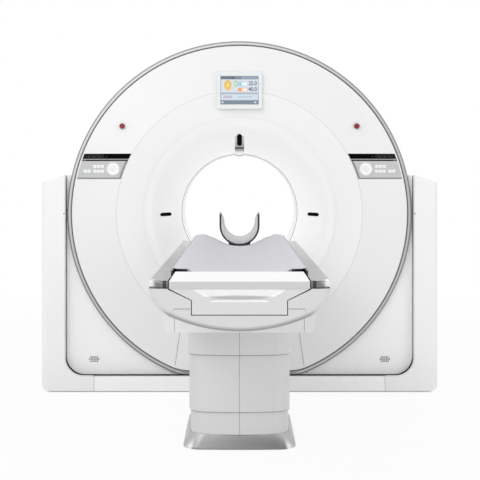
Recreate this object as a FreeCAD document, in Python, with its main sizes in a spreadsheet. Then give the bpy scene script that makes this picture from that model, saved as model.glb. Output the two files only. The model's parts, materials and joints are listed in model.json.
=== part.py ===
import FreeCAD, Part
import math
import os
import Sketcher

# A computed tomography scanner: a tilting gantry on a fixed stand, and a lifting
# patient table in front of it. The origin is on the floor under the iso-centre, the
# table lies towards -Y, and +Z is up. Everything is in millimetres.

document = FreeCAD.newDocument("CtScanner")
sheet = document.addObject("Spreadsheet::Sheet", "Sizes")
nodes = []


class Size:
    """A length together with the sheet formula that gives it."""

    def __init__(self, value, formula):
        self.value = float(value)
        self.formula = formula

    def __add__(self, other):
        other = as_size(other)
        return Size(self.value + other.value, f"({self.formula} + {other.formula})")

    def __radd__(self, other):
        return as_size(other) + self

    def __sub__(self, other):
        other = as_size(other)
        return Size(self.value - other.value, f"({self.formula} - {other.formula})")

    def __rsub__(self, other):
        return as_size(other) - self

    def __mul__(self, other):
        other = as_size(other)
        return Size(self.value * other.value, f"({self.formula} * {other.formula})")

    def __rmul__(self, other):
        return as_size(other) * self

    def __truediv__(self, other):
        other = as_size(other)
        return Size(self.value / other.value, f"({self.formula} / {other.formula})")

    def __neg__(self):
        return Size(-self.value, f"(0 - {self.formula})")


def as_size(value):
    return value if isinstance(value, Size) else Size(value, f"({float(value)!r})")


def root(value):
    return Size(math.sqrt(value.value), f"sqrt({value.formula})")


def smaller(one, other):
    return Size(min(one.value, other.value), f"min({one.formula}; {other.formula})")


def cell(name, value):
    """Writes one driving dimension into the sheet."""
    cell.row += 1
    sheet.set(f"A{cell.row}", name)
    sheet.set(f"B{cell.row}", str(value))
    sheet.setAlias(f"B{cell.row}", name)
    return Size(value, f"Sizes.{name}")


cell.row = 0

# Gantry as a whole
iso_height = cell("iso_height", 1036)
bore_radius = cell("bore_radius", 350)
ring_clear = cell("ring_clear", 36)
ring_radius = iso_height - ring_clear
ring_width = cell("ring_width", 26)
ring_front = cell("ring_front", 420)
ring_bevel = cell("ring_bevel", 5)
ring_blend = cell("ring_blend", 300)

# Tilting housing behind the ring
housing_face = cell("housing_face", 395)
housing_margin = cell("housing_margin", 6)
housing_half = ring_radius + housing_margin
foot_chop = cell("foot_chop", 62)
housing_drop = ring_radius - foot_chop
housing_shoulder = cell("housing_shoulder", 222)
housing_corner = cell("housing_corner", 104)
drum_inset = cell("drum_inset", 10)
drum_radius = ring_radius - drum_inset
housing_wall = cell("housing_wall", 5)
fascia_lap = cell("fascia_lap", 50)

# Moulded front and rear covers
cover_wall = cell("cover_wall", 4)
cover_gap = cell("cover_gap", 1.5)
seam = cell("seam", 0.8)
crease_radius = cell("crease_radius", 710)
crease_front = cell("crease_front", 452)
throat_radius = cell("throat_radius", 505)
throat_front = cell("throat_front", 428)
throat_round = cell("throat_round", 100)
throat_round_share = cell("throat_round_share", 0.65)
mouth_margin = cell("mouth_margin", 55)
mouth_seam = throat_radius + mouth_margin
mouth_lap = cell("mouth_lap", 10)
funnel_end = cell("funnel_end", 200)
funnel_round = cell("funnel_round", 60)
funnel_straight = cell("funnel_straight", 40)
window_half = cell("window_half", 24)
window_wall = cell("window_wall", 2.5)

# Lower access panel in the front cover
panel_top_half = cell("panel_top_half", 336)
panel_foot_half = cell("panel_foot_half", 375)
panel_boss = cell("panel_boss", 30)
panel_boss_place = cell("panel_boss_place", 200)

# Display, controls, stop buttons and laser windows on the front cover
inlay_depth = cell("inlay_depth", 8)
inlay_proud = cell("inlay_proud", 1)
display_height = cell("display_height", 711)
bezel_width = cell("bezel_width", 259)
bezel_tall = cell("bezel_tall", 215)
bezel_front = cell("bezel_front", 470)
bezel_back = cell("bezel_back", 410)
bezel_corner = cell("bezel_corner", 14)
screen_width = cell("screen_width", 220)
screen_tall = cell("screen_tall", 164)
screen_thick = cell("screen_thick", 5)
controls_bottom = cell("controls_bottom", 200)
controls_top = cell("controls_top", 304)
strip_bottom = cell("strip_bottom", 312)
strip_top = cell("strip_top", 346)
controls_margin = cell("controls_margin", 4)
dial_margin = cell("dial_margin", 64.25)
dial_height = cell("dial_height", 258)
dial_reach = crease_radius + dial_margin
dial_across = root(dial_reach * dial_reach - dial_height * dial_height)
dial_radius = cell("dial_radius", 39.5)
dial_thick = cell("dial_thick", 5)
dial_travel = cell("dial_travel", 1.5)
dial_proud = cell("dial_proud", 2.5)
stop_share_across = cell("stop_share_across", 0.6785)
stop_share_height = cell("stop_share_height", 0.5055)
stop_across = ring_radius * stop_share_across
stop_height = ring_radius * stop_share_height
stop_radius = cell("stop_radius", 14.6)
stop_stem = cell("stop_stem", 8)
stop_thick = cell("stop_thick", 11)
stop_travel = cell("stop_travel", 4)
laser_half = cell("laser_half", 27)
laser_low = cell("laser_low", 365)
laser_high = cell("laser_high", 452)
eye_half = cell("eye_half", 15)
eye_low = cell("eye_low", 396)
eye_high = cell("eye_high", 463)
side_eye_across = cell("side_eye_across", 434)
side_eye_drop = cell("side_eye_drop", 9)
side_eye_half = cell("side_eye_half", 30)
side_eye_tall = cell("side_eye_tall", 20)

# Fixed stand and its covers
stand_gap = cell("stand_gap", 5)
wing_width = cell("wing_width", 137)
wing_front = cell("wing_front", 445)
wing_top = iso_height + housing_shoulder
wing_slope = cell("wing_slope", 45)
wing_wall = cell("wing_wall", 4)
wing_round = cell("wing_round", 36)
wing_corner = cell("wing_corner", 43)
floor_gap = cell("floor_gap", 10)
plinth_inset = cell("plinth_inset", 166)
plinth_half = housing_half - plinth_inset
plinth_thick = cell("plinth_thick", 13)
plinth_seam = cell("plinth_seam", 2)
foot_thick = cell("foot_thick", 8)
foot_radius = cell("foot_radius", 45)
sill_top = cell("sill_top", 80)
sill_reach = cell("sill_reach", 430)
beam_depth = cell("beam_depth", 40)
beam_top = cell("beam_top", 75)
upright_inset = cell("upright_inset", 13)
upright_thick = cell("upright_thick", 77)
upright_foot_half = cell("upright_foot_half", 330)
upright_top_half = cell("upright_top_half", 130)
upright_rise = cell("upright_rise", 144)
upright_top = iso_height + upright_rise
upright_window = cell("upright_window", 90)
upright_head = cell("upright_head", 190)
window_share = cell("window_share", 0.62)
anchor_outset = cell("anchor_outset", 54)
anchor_across = housing_half + anchor_outset
anchor_along = cell("anchor_along", 350)
anchor_hole = cell("anchor_hole", 22)

# Tilt shaft and drive
shaft_radius = cell("shaft_radius", 60)
shaft_fit = cell("shaft_fit", 0.5)
shaft_flange = cell("shaft_flange", 90)
shaft_nose = cell("shaft_nose", 40)
gearbox_radius = cell("gearbox_radius", 108)
gearbox_thick = cell("gearbox_thick", 22)
motor_radius = cell("motor_radius", 48)
motor_across = cell("motor_across", 232)
motor_long = cell("motor_long", 77)

# Tilting frame, bearing and rotor
frame_front = cell("frame_front", 120)
frame_back = cell("frame_back", 170)
frame_hole = cell("frame_hole", 560)
frame_inset = cell("frame_inset", 90)
frame_radius = drum_radius - frame_inset
yoke_thick = cell("yoke_thick", 56)
yoke_half = cell("yoke_half", 140)
yoke_front = cell("yoke_front", 90)
bearing_flange = cell("bearing_flange", 602)
bearing_step = cell("bearing_step", 12)
bearing_fit = cell("bearing_fit", 0.8)
hub_radius = cell("hub_radius", 500)
hub_wall = cell("hub_wall", 30)
hub_back = cell("hub_back", 190)
rotor_front = cell("rotor_front", 60)
rotor_plate = cell("rotor_plate", 20)
rotor_inner = cell("rotor_inner", 440)
rotor_inset = cell("rotor_inset", 65)
rotor_radius = drum_radius - rotor_inset
rotor_rim = cell("rotor_rim", 18)
rotor_rim_front = cell("rotor_rim_front", 120)
slip_thick = cell("slip_thick", 24)
slip_width = cell("slip_width", 70)
focus_radius = cell("focus_radius", 600)
tube_radius = cell("tube_radius", 100)
tube_centre = cell("tube_centre", 700)
tube_front = cell("tube_front", 130)
collimator_half = cell("collimator_half", 85)
collimator_low = cell("collimator_low", 440)
detector_reach = cell("detector_reach", 1085)
detector_thick = cell("detector_thick", 62)
detector_angle = cell("detector_angle", 25)
detector_front = cell("detector_front", 70)
crate_inner = cell("crate_inner", 650)
crate_inset = cell("crate_inset", 53)
crate_outer = rotor_radius - crate_inset
crate_half = cell("crate_half", 150)
crate_front = cell("crate_front", 110)
generator_half = cell("generator_half", 129)
fin_count = cell("fin_count", 8)
weight_inner = cell("weight_inner", 744)
weight_inset = cell("weight_inset", 57)
weight_outer = rotor_radius - weight_inset
weight_half = cell("weight_half", 100)

# Patient table: rails, deck and covers
table_near = cell("table_near", 2840)
table_far = cell("table_far", 765)
rail_top = cell("rail_top", 899)
rail_bottom = cell("rail_bottom", 872)
rail_outer = cell("rail_outer", 311.5)
rail_inner = cell("rail_inner", 243)
rail_corner = cell("rail_corner", 55)
rail_round = cell("rail_round", 9)
deck_wall = cell("deck_wall", 4)
deck_end_gap = cell("deck_end_gap", 4)
deck_shelf = cell("deck_shelf", 812)
keel_half = cell("keel_half", 161.5)
keel_shoulder = cell("keel_shoulder", 833)
keel_bottom = cell("keel_bottom", 784)
keel_gap = cell("keel_gap", 3)
cover_skin = cell("cover_skin", 4)
belly_depth = cell("belly_depth", 725)
belly_turn = cell("belly_turn", 776)
belly_turn_half = cell("belly_turn_half", 238)
belly_side_round = cell("belly_side_round", 140)
belly_front_wall = cell("belly_front_wall", 12)
belly_round = cell("belly_round", 18)
groove = cell("groove", 1.5)
hatch_half = cell("hatch_half", 223)
hatch_line = cell("hatch_line", 804)
box_near = cell("box_near", 2267)
box_far = cell("box_far", 940)
box_half = cell("box_half", 307)
box_foot_half = cell("box_foot_half", 292)
box_knee = cell("box_knee", 722)
box_bottom = cell("box_bottom", 634)
box_line_half = cell("box_line_half", 256)
box_line_rise = cell("box_line_rise", 60)

# Cradle and what rides on it
cradle_near_gap = cell("cradle_near_gap", 55)
cradle_far = cell("cradle_far", 740)
cradle_bottom = cell("cradle_bottom", 834)
cradle_wall = cell("cradle_wall", 12)
cradle_flat = cell("cradle_flat", 60)
cradle_turn = cell("cradle_turn", 215)
cradle_turn_rise = cell("cradle_turn_rise", 56)
cradle_half = cell("cradle_half", 236)
cradle_rim_rise = cell("cradle_rim_rise", 76)
cradle_rim = cell("cradle_rim", 928)
cradle_lip = cell("cradle_lip", 6)
pad_seat = cell("pad_seat", 0.3)
pad_centre = cell("pad_centre", 869)
pad_peak = cell("pad_peak", 937)
pad_roll = cell("pad_roll", 4)
pad_peak_half = cell("pad_peak_half", 216)
pad_flat = cell("pad_flat", 62)
pad_rise = cell("pad_rise", 4)
pad_set_back = cell("pad_set_back", 42)
pad_round = cell("pad_round", 6)
cap_depth = cell("cap_depth", 55)
cap_half = cell("cap_half", 239)
cap_top = cell("cap_top", 925)
cap_ridge = cell("cap_ridge", 895.5)
cap_top_half = cell("cap_top_half", 219.5)
keel_face = cell("keel_face", 2838)
keel_thick = cell("keel_thick", 26)
carriage_length = cell("carriage_length", 342)
carriage_half = cell("carriage_half", 150)
bed_thick = cell("bed_thick", 16)
grip_top_half = cell("grip_top_half", 168)
grip_foot_half = cell("grip_foot_half", 91)
grip_foot = cell("grip_foot", 828)
grip_depth = cell("grip_depth", 20)
grip_in_half = cell("grip_in_half", 80)
grip_in_foot_half = cell("grip_in_foot_half", 70)
grip_in_top = cell("grip_in_top", 838)
grip_in_foot = cell("grip_in_foot", 829)
guide_across = cell("guide_across", 195)
guide_half = cell("guide_half", 8)
guide_tall = cell("guide_tall", 12)
guide_fit = cell("guide_fit", 0.3)
guide_near = cell("guide_near", 2800)
guide_far = cell("guide_far", 800)
block_half = cell("block_half", 16)
block_length = cell("block_length", 70)
block_top = cell("block_top", 840)
holder_half = cell("holder_half", 110)
holder_wall = cell("holder_wall", 6)
holder_bottom = cell("holder_bottom", 871)
holder_top = cell("holder_top", 1045)
holder_near = cell("holder_near", 736)
holder_far = cell("holder_far", 466)
holder_tongue = cell("holder_tongue", 45)
head_pad_thick = cell("head_pad_thick", 30)
head_pad_side = cell("head_pad_side", 16)
head_pad_tip = cell("head_pad_tip", 8)
head_pad_top = cell("head_pad_top", 1036)

# Cradle drive
belt_across = cell("belt_across", 227)
belt_half = cell("belt_half", 6)
belt_thick = cell("belt_thick", 2)
pulley_radius = cell("pulley_radius", 11)
pulley_axis = cell("pulley_axis", 827)
pulley_near = cell("pulley_near", 2760)
pulley_far = cell("pulley_far", 870)
pulley_fit = cell("pulley_fit", 0.3)
motor_flat = cell("motor_flat", 26)
spindle_radius = cell("spindle_radius", 4)
roller_radius = cell("roller_radius", 22)
roller_half = cell("roller_half", 56)
roller_place = cell("roller_place", 796)
roller_pin = cell("roller_pin", 7)

# Pedestal, nested covers and lift column
pedestal_place = cell("pedestal_place", 1300)
foot_half = cell("foot_half", 261)
foot_length = cell("foot_length", 345)
foot_slope = cell("foot_slope", 29)
foot_band = cell("foot_band", 9)
foot_top = cell("foot_top", 63)
foot_wall = cell("foot_wall", 6)
bow = cell("bow", 14)
foot_bow = cell("foot_bow", 5)
shell_corner = cell("shell_corner", 80)
shell_wall = cell("shell_wall", 4)
shell_fit = cell("shell_fit", 0.4)
shell_bead = cell("shell_bead", 12)
upper_half = cell("upper_half", 241)
upper_length = cell("upper_length", 325)
upper_bottom = cell("upper_bottom", 431)
lift_head = cell("lift_head", 745)
shell_step = cell("shell_step", 6.5)
middle_bottom = cell("middle_bottom", 168)
middle_top = cell("middle_top", 480)
lower_top = cell("lower_top", 215)
base_plate = cell("base_plate", 28)
base_inset = cell("base_inset", 24)
base_hole = cell("base_hole", 18)
base_hole_across = cell("base_hole_across", 195)
base_hole_along = cell("base_hole_along", 270)
column_half = cell("column_half", 150)
column_long = cell("column_long", 200)
column_wall = cell("column_wall", 10)
column_fit = cell("column_fit", 0.4)
column_outer_top = cell("column_outer_top", 230)
column_middle_bottom = cell("column_middle_bottom", 150)
column_middle_top = cell("column_middle_top", 460)
column_inner_bottom = cell("column_inner_bottom", 395)

document.recompute()


def bind(thing, place, value):
    """Ties a property to its formula, with the value set first."""
    thing.setExpression(place, as_size(value).formula)


def place(thing, across, along, height, rotation=None):
    """Puts a body or a primitive at a point, turned by a rotation."""
    spot = [as_size(part) for part in (across, along, height)]
    where = FreeCAD.Vector(*[part.value for part in spot])
    thing.Placement = FreeCAD.Placement(where, rotation or FreeCAD.Rotation())
    for axis, part in zip("xyz", spot):
        bind(thing, f"Placement.Base.{axis}", part)
    return thing


def node(thing, name):
    """Marks a finished piece to be written out under its name."""
    thing.Label = name
    nodes.append(thing)
    return thing


def bare_body(name, across=0, along=0, height=0):
    """A body that other pieces are cut from; it isn't written out itself."""
    return place(document.addObject("PartDesign::Body", name), across, along, height)


def new_body(name, across=0, along=0, height=0):
    return node(bare_body(name, across, along, height), name)


def gantry_body(name):
    """A body whose own origin is the iso-centre."""
    return new_body(name, 0, 0, iso_height)


def new_sketch(body, role, offset=0):
    """A sketch on one of the body's planes: XY, XZ (facing -Y) or YZ (facing +X)."""
    sketch = body.newObject("Sketcher::SketchObject", body.Name + "_sketch")
    planes = [plane for plane in body.Origin.OriginFeatures if plane.Role == role + "_Plane"]
    sketch.AttachmentSupport = [(planes[0], "")]
    sketch.MapMode = "FlatFace"
    offset = as_size(offset)
    lift = FreeCAD.Vector(0, 0, offset.value)
    sketch.AttachmentOffset = FreeCAD.Placement(lift, FreeCAD.Rotation())
    bind(sketch, "AttachmentOffset.Base.z", offset)
    return sketch


def pin_point(sketch, edge, end, x, y):
    """Holds one point of a sketch at x and y."""
    for kind, value, axis in (("DistanceX", x, -2), ("DistanceY", y, -1)):
        if isinstance(value, Size):
            number = sketch.addConstraint(Sketcher.Constraint(kind, -1, 1, edge, end, value.value))
            bind(sketch, f"Constraints[{number}]", value)
        elif value == 0:
            sketch.addConstraint(Sketcher.Constraint("PointOnObject", edge, end, axis))
        else:
            sketch.addConstraint(Sketcher.Constraint(kind, -1, 1, edge, end, float(value)))


def arc_between(start, end, radius, side):
    """The shorter arc from start to end: side is 1 with its centre on the left, or -1."""
    chord = end - start
    half = chord.Length / 2
    left = FreeCAD.Vector(-chord.y, chord.x, 0).normalize()
    centre = start + chord * 0.5 + left * (side * math.sqrt(max(radius**2 - half**2, 0)))
    first, last = (start, end) if side > 0 else (end, start)
    angles = [math.atan2(point.y - centre.y, point.x - centre.x) for point in (first, last)]
    if angles[1] < angles[0]:
        angles[1] += 2 * math.pi
    circle = Part.Circle(centre, FreeCAD.Vector(0, 0, 1), radius)
    return Part.ArcOfCircle(circle, *angles)


def draw(sketch, corners):
    """A closed outline. A corner is (x, y), or (x, y, radius, side) where an arc starts."""
    points = [FreeCAD.Vector(as_size(corner[0]).value, as_size(corner[1]).value, 0) for corner in corners]
    first = sketch.GeometryCount
    ends = []
    edges = []
    for number, corner in enumerate(corners):
        start, end = points[number], points[(number + 1) % len(points)]
        if len(corner) == 2:
            edges.append(Part.LineSegment(start, end))
            ends.append((1, 2))
        else:
            edges.append(arc_between(start, end, as_size(corner[2]).value, corner[3]))
            ends.append((1, 2) if corner[3] > 0 else (2, 1))
    sketch.addGeometry(edges, False)
    for number, corner in enumerate(corners):
        edge = first + number
        after = (number + 1) % len(corners)
        joint = Sketcher.Constraint("Coincident", edge, ends[number][1], first + after, ends[after][0])
        sketch.addConstraint(joint)
        pin_point(sketch, edge, ends[number][0], corner[0], corner[1])
        if len(corner) == 4:
            radius = as_size(corner[2])
            count = sketch.addConstraint(Sketcher.Constraint("Radius", edge, radius.value))
            bind(sketch, f"Constraints[{count}]", radius)


def draw_circle(sketch, x, y, radius):
    centre = FreeCAD.Vector(as_size(x).value, as_size(y).value, 0)
    radius = as_size(radius)
    circle = Part.Circle(centre, FreeCAD.Vector(0, 0, 1), radius.value)
    edge = sketch.addGeometry([circle], False)[0]
    count = sketch.addConstraint(Sketcher.Constraint("Radius", edge, radius.value))
    bind(sketch, f"Constraints[{count}]", radius)
    pin_point(sketch, edge, 3, x, y)


def rectangle(left, bottom, right, top):
    return [(left, bottom), (right, bottom), (right, top), (left, top)]


def mirrored(corners):
    """The same outline on the other side of the vertical axis, run the other way round."""
    turned = []
    count = len(corners)
    for number in range(count):
        corner = corners[-number % count]
        arc = corners[(-number - 1) % count][2:]
        turned.append((-corner[0], corner[1]) + arc)
    return turned


def build(body, kind, sketch, length=None, both=False, back=False):
    """A pad or a pocket. With no length it goes through everything."""
    made = body.newObject("PartDesign::" + kind, f"{body.Name}_{kind}")
    made.Profile = sketch
    if length is None:
        made.Type = "ThroughAll"
    else:
        bind(made, "Length", length)
    made.SideType = "Symmetric" if both else "One side"
    made.Reversed = back
    body.Tip = made
    return made


def pad(body, role, outlines, length, offset=0, both=False, back=False):
    sketch = new_sketch(body, role, offset)
    for corners in outlines:
        draw(sketch, corners)
    return build(body, "Pad", sketch, length, both, back)


def pocket(body, role, outlines, length=None, offset=0, both=False, back=False):
    sketch = new_sketch(body, role, offset)
    for corners in outlines:
        draw(sketch, corners)
    return build(body, "Pocket", sketch, length, both, back)


def bore(body, role, x, y, radius, length=None, offset=0, both=False, back=False):
    sketch = new_sketch(body, role, offset)
    draw_circle(sketch, x, y, radius)
    return build(body, "Pocket", sketch, length, both, back)


def revolve(body, corners, kind="Revolution"):
    """Turns an outline of (along, radius) about the gantry's centre line."""
    sketch = new_sketch(body, "YZ")
    draw(sketch, corners)
    made = body.newObject("PartDesign::" + kind, f"{body.Name}_{kind}")
    made.Profile = sketch
    made.ReferenceAxis = (sketch, ["H_Axis"])
    made.Angle = 360
    body.Tip = made
    return made


def round_edges(body, radius, chosen, kind="Fillet"):
    """Rounds or chamfers the edges that a test picks out of the body so far."""
    document.recompute()
    base = body.Tip
    names = [f"Edge{number + 1}" for number, edge in enumerate(base.Shape.Edges) if chosen(edge)]
    made = body.newObject("PartDesign::" + kind, f"{body.Name}_{kind}")
    made.Base = (base, names)
    bind(made, "Radius" if kind == "Fillet" else "Size", radius)
    body.Tip = made
    return made


def is_circle(edge, *radii):
    curve = edge.Curve
    return isinstance(curve, Part.Circle) and any(abs(curve.Radius - radius.value) < 0.01 for radius in radii)


def along(edge, axis):
    """Whether a straight edge runs along an axis."""
    if not isinstance(edge.Curve, Part.Line):
        return False
    return abs(abs(edge.Curve.Direction.dot(axis)) - 1) < 1e-6


def near(value, size):
    return abs(value - as_size(size).value) < 0.01


def box(name, low, high):
    """A block between two corners."""
    made = document.addObject("Part::Box", name)
    for side, lower, upper in zip(("Length", "Width", "Height"), low, high):
        bind(made, side, as_size(upper) - lower)
    return place(made, *low)


turn_to_x = FreeCAD.Rotation(FreeCAD.Vector(0, 1, 0), 90)
turn_to_y = FreeCAD.Rotation(FreeCAD.Vector(1, 0, 0), -90)


def rod(name, spot, radius, length, rotation=None):
    """A round bar that starts at a point."""
    made = document.addObject("Part::Cylinder", name)
    bind(made, "Radius", radius)
    bind(made, "Height", length)
    return place(made, *spot, rotation)


def join(name, parts):
    made = document.addObject("Part::MultiFuse", name)
    made.Shapes = parts
    return made


def cut(name, base, tool):
    made = document.addObject("Part::Cut", name)
    made.Base = base
    made.Tool = tool
    return made


# ---- outlines that several pieces share

def disc_corners(inset):
    """The ring's outline, a circle with a flat foot, drawn in by a distance."""
    outer = ring_radius - inset
    blend = ring_blend - inset
    reach = outer / (ring_radius - ring_blend)
    blend_x = blend_centre()
    out_x = blend_x * reach
    out_z = -(housing_drop - ring_blend) * reach
    return [
        (-blend_x, -(housing_drop - inset)),
        (blend_x, -(housing_drop - inset), blend, 1),
        (out_x, out_z, outer, 1),
        (0, outer, outer, 1),
        (-out_x, out_z, blend, 1),
    ]


def blend_centre():
    """How far the foot's corner rounding is centred from the middle."""
    across = ring_radius - ring_blend
    down = housing_drop - ring_blend
    return root(across * across - down * down)


def housing_corners(inset):
    """The tilting housing: a drum on a block with rounded lower corners."""
    half = housing_half - inset
    drop = housing_drop - inset
    shoulder = housing_shoulder - inset
    drum = drum_radius - inset
    corner = housing_corner - inset
    joint = root(drum * drum - shoulder * shoulder)
    return [
        (-(half - corner), -drop),
        (half - corner, -drop, corner, 1),
        (half, -(drop - corner)),
        (half, shoulder),
        (joint, shoulder, drum, 1),
        (-joint, shoulder),
        (-half, shoulder),
        (-half, -(drop - corner), corner, 1),
    ]


def cover_edge():
    return ring_radius - ring_width - cover_gap


def mouth_front():
    """How far forward the disc stands where the funnel piece meets it."""
    rise = (crease_front - throat_front) / (crease_radius - throat_radius)
    return throat_front + rise * (mouth_seam - throat_radius)


def cover_half_section(facing):
    """Half section of a gantry cover: flange, outer cone, crease and disc."""
    edge = cover_edge()
    wall = cover_wall
    outside = [
        (housing_face, edge),
        (ring_front, edge),
        (crease_front, crease_radius),
        (mouth_front(), mouth_seam),
    ]
    inside = [
        (mouth_front() - wall, mouth_seam),
        (crease_front - wall, crease_radius),
        (ring_front - wall, edge - wall),
        (housing_face, edge - wall),
    ]
    return [(facing * y, r) for y, r in outside + inside]


def funnel_half_section(facing):
    """Half section of a bore funnel: lap behind the disc, rim, cone and straight end."""
    wall = cover_wall
    rim = mouth_seam - seam
    lap = mouth_front() - wall - pad_seat
    outside = [
        (mouth_front(), rim),
        (throat_front, throat_radius),
        (funnel_end, bore_radius),
        (funnel_end - funnel_straight, bore_radius),
    ]
    inside = [
        (funnel_end - funnel_straight, bore_radius + wall),
        (funnel_end - wall / 2, bore_radius + wall),
        (throat_front - wall, throat_radius + wall),
        (lap - wall, rim - wall),
        (lap - wall, mouth_seam + mouth_lap),
        (lap, mouth_seam + mouth_lap),
        (lap, rim),
    ]
    return [(facing * y, r) for y, r in outside + inside]


def liner_half_section(facing):
    """Half section of the straight liner between a funnel's end and the scan window."""
    start = funnel_end - funnel_straight - pad_seat
    outer = bore_radius + cover_wall
    corners = [
        (start, bore_radius),
        (window_half, bore_radius),
        (window_half, outer),
        (start, outer),
    ]
    return [(facing * y, r) for y, r in corners]


def round_funnel(body):
    wall = cover_wall
    throat = (throat_radius, throat_radius + wall)
    mouth = (bore_radius, bore_radius + wall)
    room = (throat_radius - bore_radius) * throat_round_share
    round_edges(body, smaller(throat_round, room), lambda edge: is_circle(edge, *throat))
    ends = {round(funnel_end.value, 2), round((funnel_end - wall / 2).value, 2)}

    def at_mouth(edge):
        return is_circle(edge, *mouth) and round(abs(edge.Curve.Center.y), 2) in ends

    round_edges(body, funnel_round, at_mouth)


def annulus_band(side, low, high, inset):
    """The outline on the cover's outer cone between two heights, inside crease and ring."""
    inner = crease_radius + inset
    outer = cover_edge() - cover_wall - inset
    corners = [
        (root(inner * inner - low * low), low),
        (root(outer * outer - low * low), low, outer, 1),
        (root(outer * outer - high * high), high),
        (root(inner * inner - high * high), high, inner, -1),
    ]
    return corners if side > 0 else mirrored(corners)


def outer_cone_layer(body, proud):
    """A skin that follows the cover's outer cone, for inlays to be cut from."""
    revolve(body, [
        (-(crease_front + proud), crease_radius),
        (-(crease_front + proud - inlay_depth), crease_radius),
        (-(ring_front + proud - inlay_depth), cover_edge()),
        (-(ring_front + proud), cover_edge()),
    ])


def funnel_layer(body, proud):
    """A skin that follows the funnel, for the laser strip and windows."""
    revolve(body, [
        (-(throat_front + proud), throat_radius),
        (-(funnel_end + proud), bore_radius),
        (-(funnel_end + proud - inlay_depth), bore_radius),
        (-(throat_front + proud - inlay_depth), throat_radius),
    ])


def keep_inside(body, outlines):
    """Cuts away all of a body that lies outside the outlines, seen from the front."""
    far = ring_radius * 1.2
    sketch = new_sketch(body, "XZ")
    draw(sketch, rectangle(-far, -far, far, far))
    for corners in outlines:
        draw(sketch, corners)
    return build(body, "Pocket", sketch, None, both=True)


def pill(x, z, half_x, half_z):
    """A slot outline with round ends, along its longer side."""
    if half_x.value > half_z.value:
        run = half_x - half_z
        return [
            (x - run, z - half_z),
            (x + run, z - half_z, half_z, 1),
            (x + run + half_z, z, half_z, 1),
            (x + run, z + half_z),
            (x - run, z + half_z, half_z, 1),
            (x - run - half_z, z, half_z, 1),
        ]
    run = half_z - half_x
    return [
        (x + half_x, z - run),
        (x + half_x, z + run, half_x, 1),
        (x, z + run + half_x, half_x, 1),
        (x - half_x, z + run),
        (x - half_x, z - run, half_x, 1),
        (x, z - run - half_x, half_x, 1),
    ]


def top_eye(inset):
    return pill(as_size(0), (eye_low + eye_high) / 2, eye_half - inset, (eye_high - eye_low) / 2 - inset)


def side_eye(side, inset):
    return pill(side * side_eye_across, -side_eye_drop, side_eye_half - inset, side_eye_tall / 2 - inset)


def access_side(inset):
    """The right edge of the access panel: its ends at the crease and at the ring's foot."""
    top = panel_top_half - inset
    foot = panel_foot_half - inset
    crease = crease_radius + inset
    blend = ring_blend - ring_width - cover_gap
    reach = foot - blend_centre()
    foot_z = -(housing_drop - ring_blend) - root(blend * blend - reach * reach)
    return (top, -root(crease * crease - top * top)), (foot, foot_z)


def access_reach(inset):
    """Where that edge would come out if it ran on past the ring."""
    (top, top_z), (foot, foot_z) = access_side(inset)
    return foot + (foot - top) * (ring_radius + foot_z) / (top_z - foot_z)


def access_outline(inset):
    """The lower access panel: from the crease down to the ring's flat foot."""
    (top, top_z), (foot, foot_z) = access_side(inset)
    crease = crease_radius + inset
    edge = ring_width + cover_gap
    blend = ring_blend - edge
    blend_x = blend_centre()
    return [
        (-blend_x, -(housing_drop - edge)),
        (blend_x, -(housing_drop - edge), blend, 1),
        (foot, foot_z),
        (top, top_z, crease, -1),
        (0, -crease, crease, -1),
        (-top, top_z),
        (-foot, foot_z, blend, 1),
    ]


# ---- fixed stand

def gantry_stand():
    """One welded steel stand: two sills, two cross beams and two bored uprights."""
    body = new_body("gantry_stand")
    inner = housing_half + stand_gap + wing_wall
    outer = inner + upright_inset + upright_thick
    feet = new_sketch(body, "XY")
    for side in (-1, 1):
        for end in (-1, 0, 1):
            draw_circle(feet, side * anchor_across, end * anchor_along if end else 0, foot_radius)
    sill = rectangle(inner, -sill_reach, outer, sill_reach)
    pad(body, "XY", [sill, mirrored(sill)], sill_top - foot_thick, foot_thick)
    reach = wing_front - plinth_thick
    beam = rectangle(-inner, -reach, inner, -(reach - beam_depth))
    back_beam = rectangle(-inner, reach - beam_depth, inner, reach)
    pad(body, "XY", [beam, back_beam], beam_top - foot_thick, foot_thick)
    build(body, "Pad", feet, foot_thick + 1)
    start = inner + upright_inset
    half_foot = upright_foot_half
    half_top = upright_top_half
    round_top = root(half_top * half_top)
    shape = [
        (-half_foot, sill_top),
        (half_foot, sill_top),
        (half_top, upright_top - half_top, round_top, 1),
        (0, upright_top, round_top, 1),
        (-half_top, upright_top - half_top),
    ]
    pad(body, "YZ", [shape], upright_thick, start)
    pad(body, "YZ", [shape], upright_thick, -(start + upright_thick))
    bore(body, "YZ", 0, iso_height, shaft_radius + shaft_fit, both=True)
    pockets = [
        (-(half_foot * window_share), sill_top + upright_window),
        (half_foot * window_share, sill_top + upright_window),
        (half_top * window_share, iso_height - upright_head),
        (-(half_top * window_share), iso_height - upright_head),
    ]
    pocket(body, "YZ", [pockets], both=True)
    holes = new_sketch(body, "XY")
    for side in (-1, 1):
        for end in (-1, 1):
            draw_circle(holes, side * anchor_across, end * anchor_along, anchor_hole / 2)
    build(body, "Pocket", holes, None, both=True)


def wing_plan(inner, outer, front, turn):
    """Plan of a wing: square towards the gantry, rounded at its outer corners."""
    return [
        (inner, -front),
        (outer - turn, -front, turn, 1),
        (outer, -(front - turn)),
        (outer, front - turn, turn, 1),
        (outer - turn, front),
        (inner, front),
    ]


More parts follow.
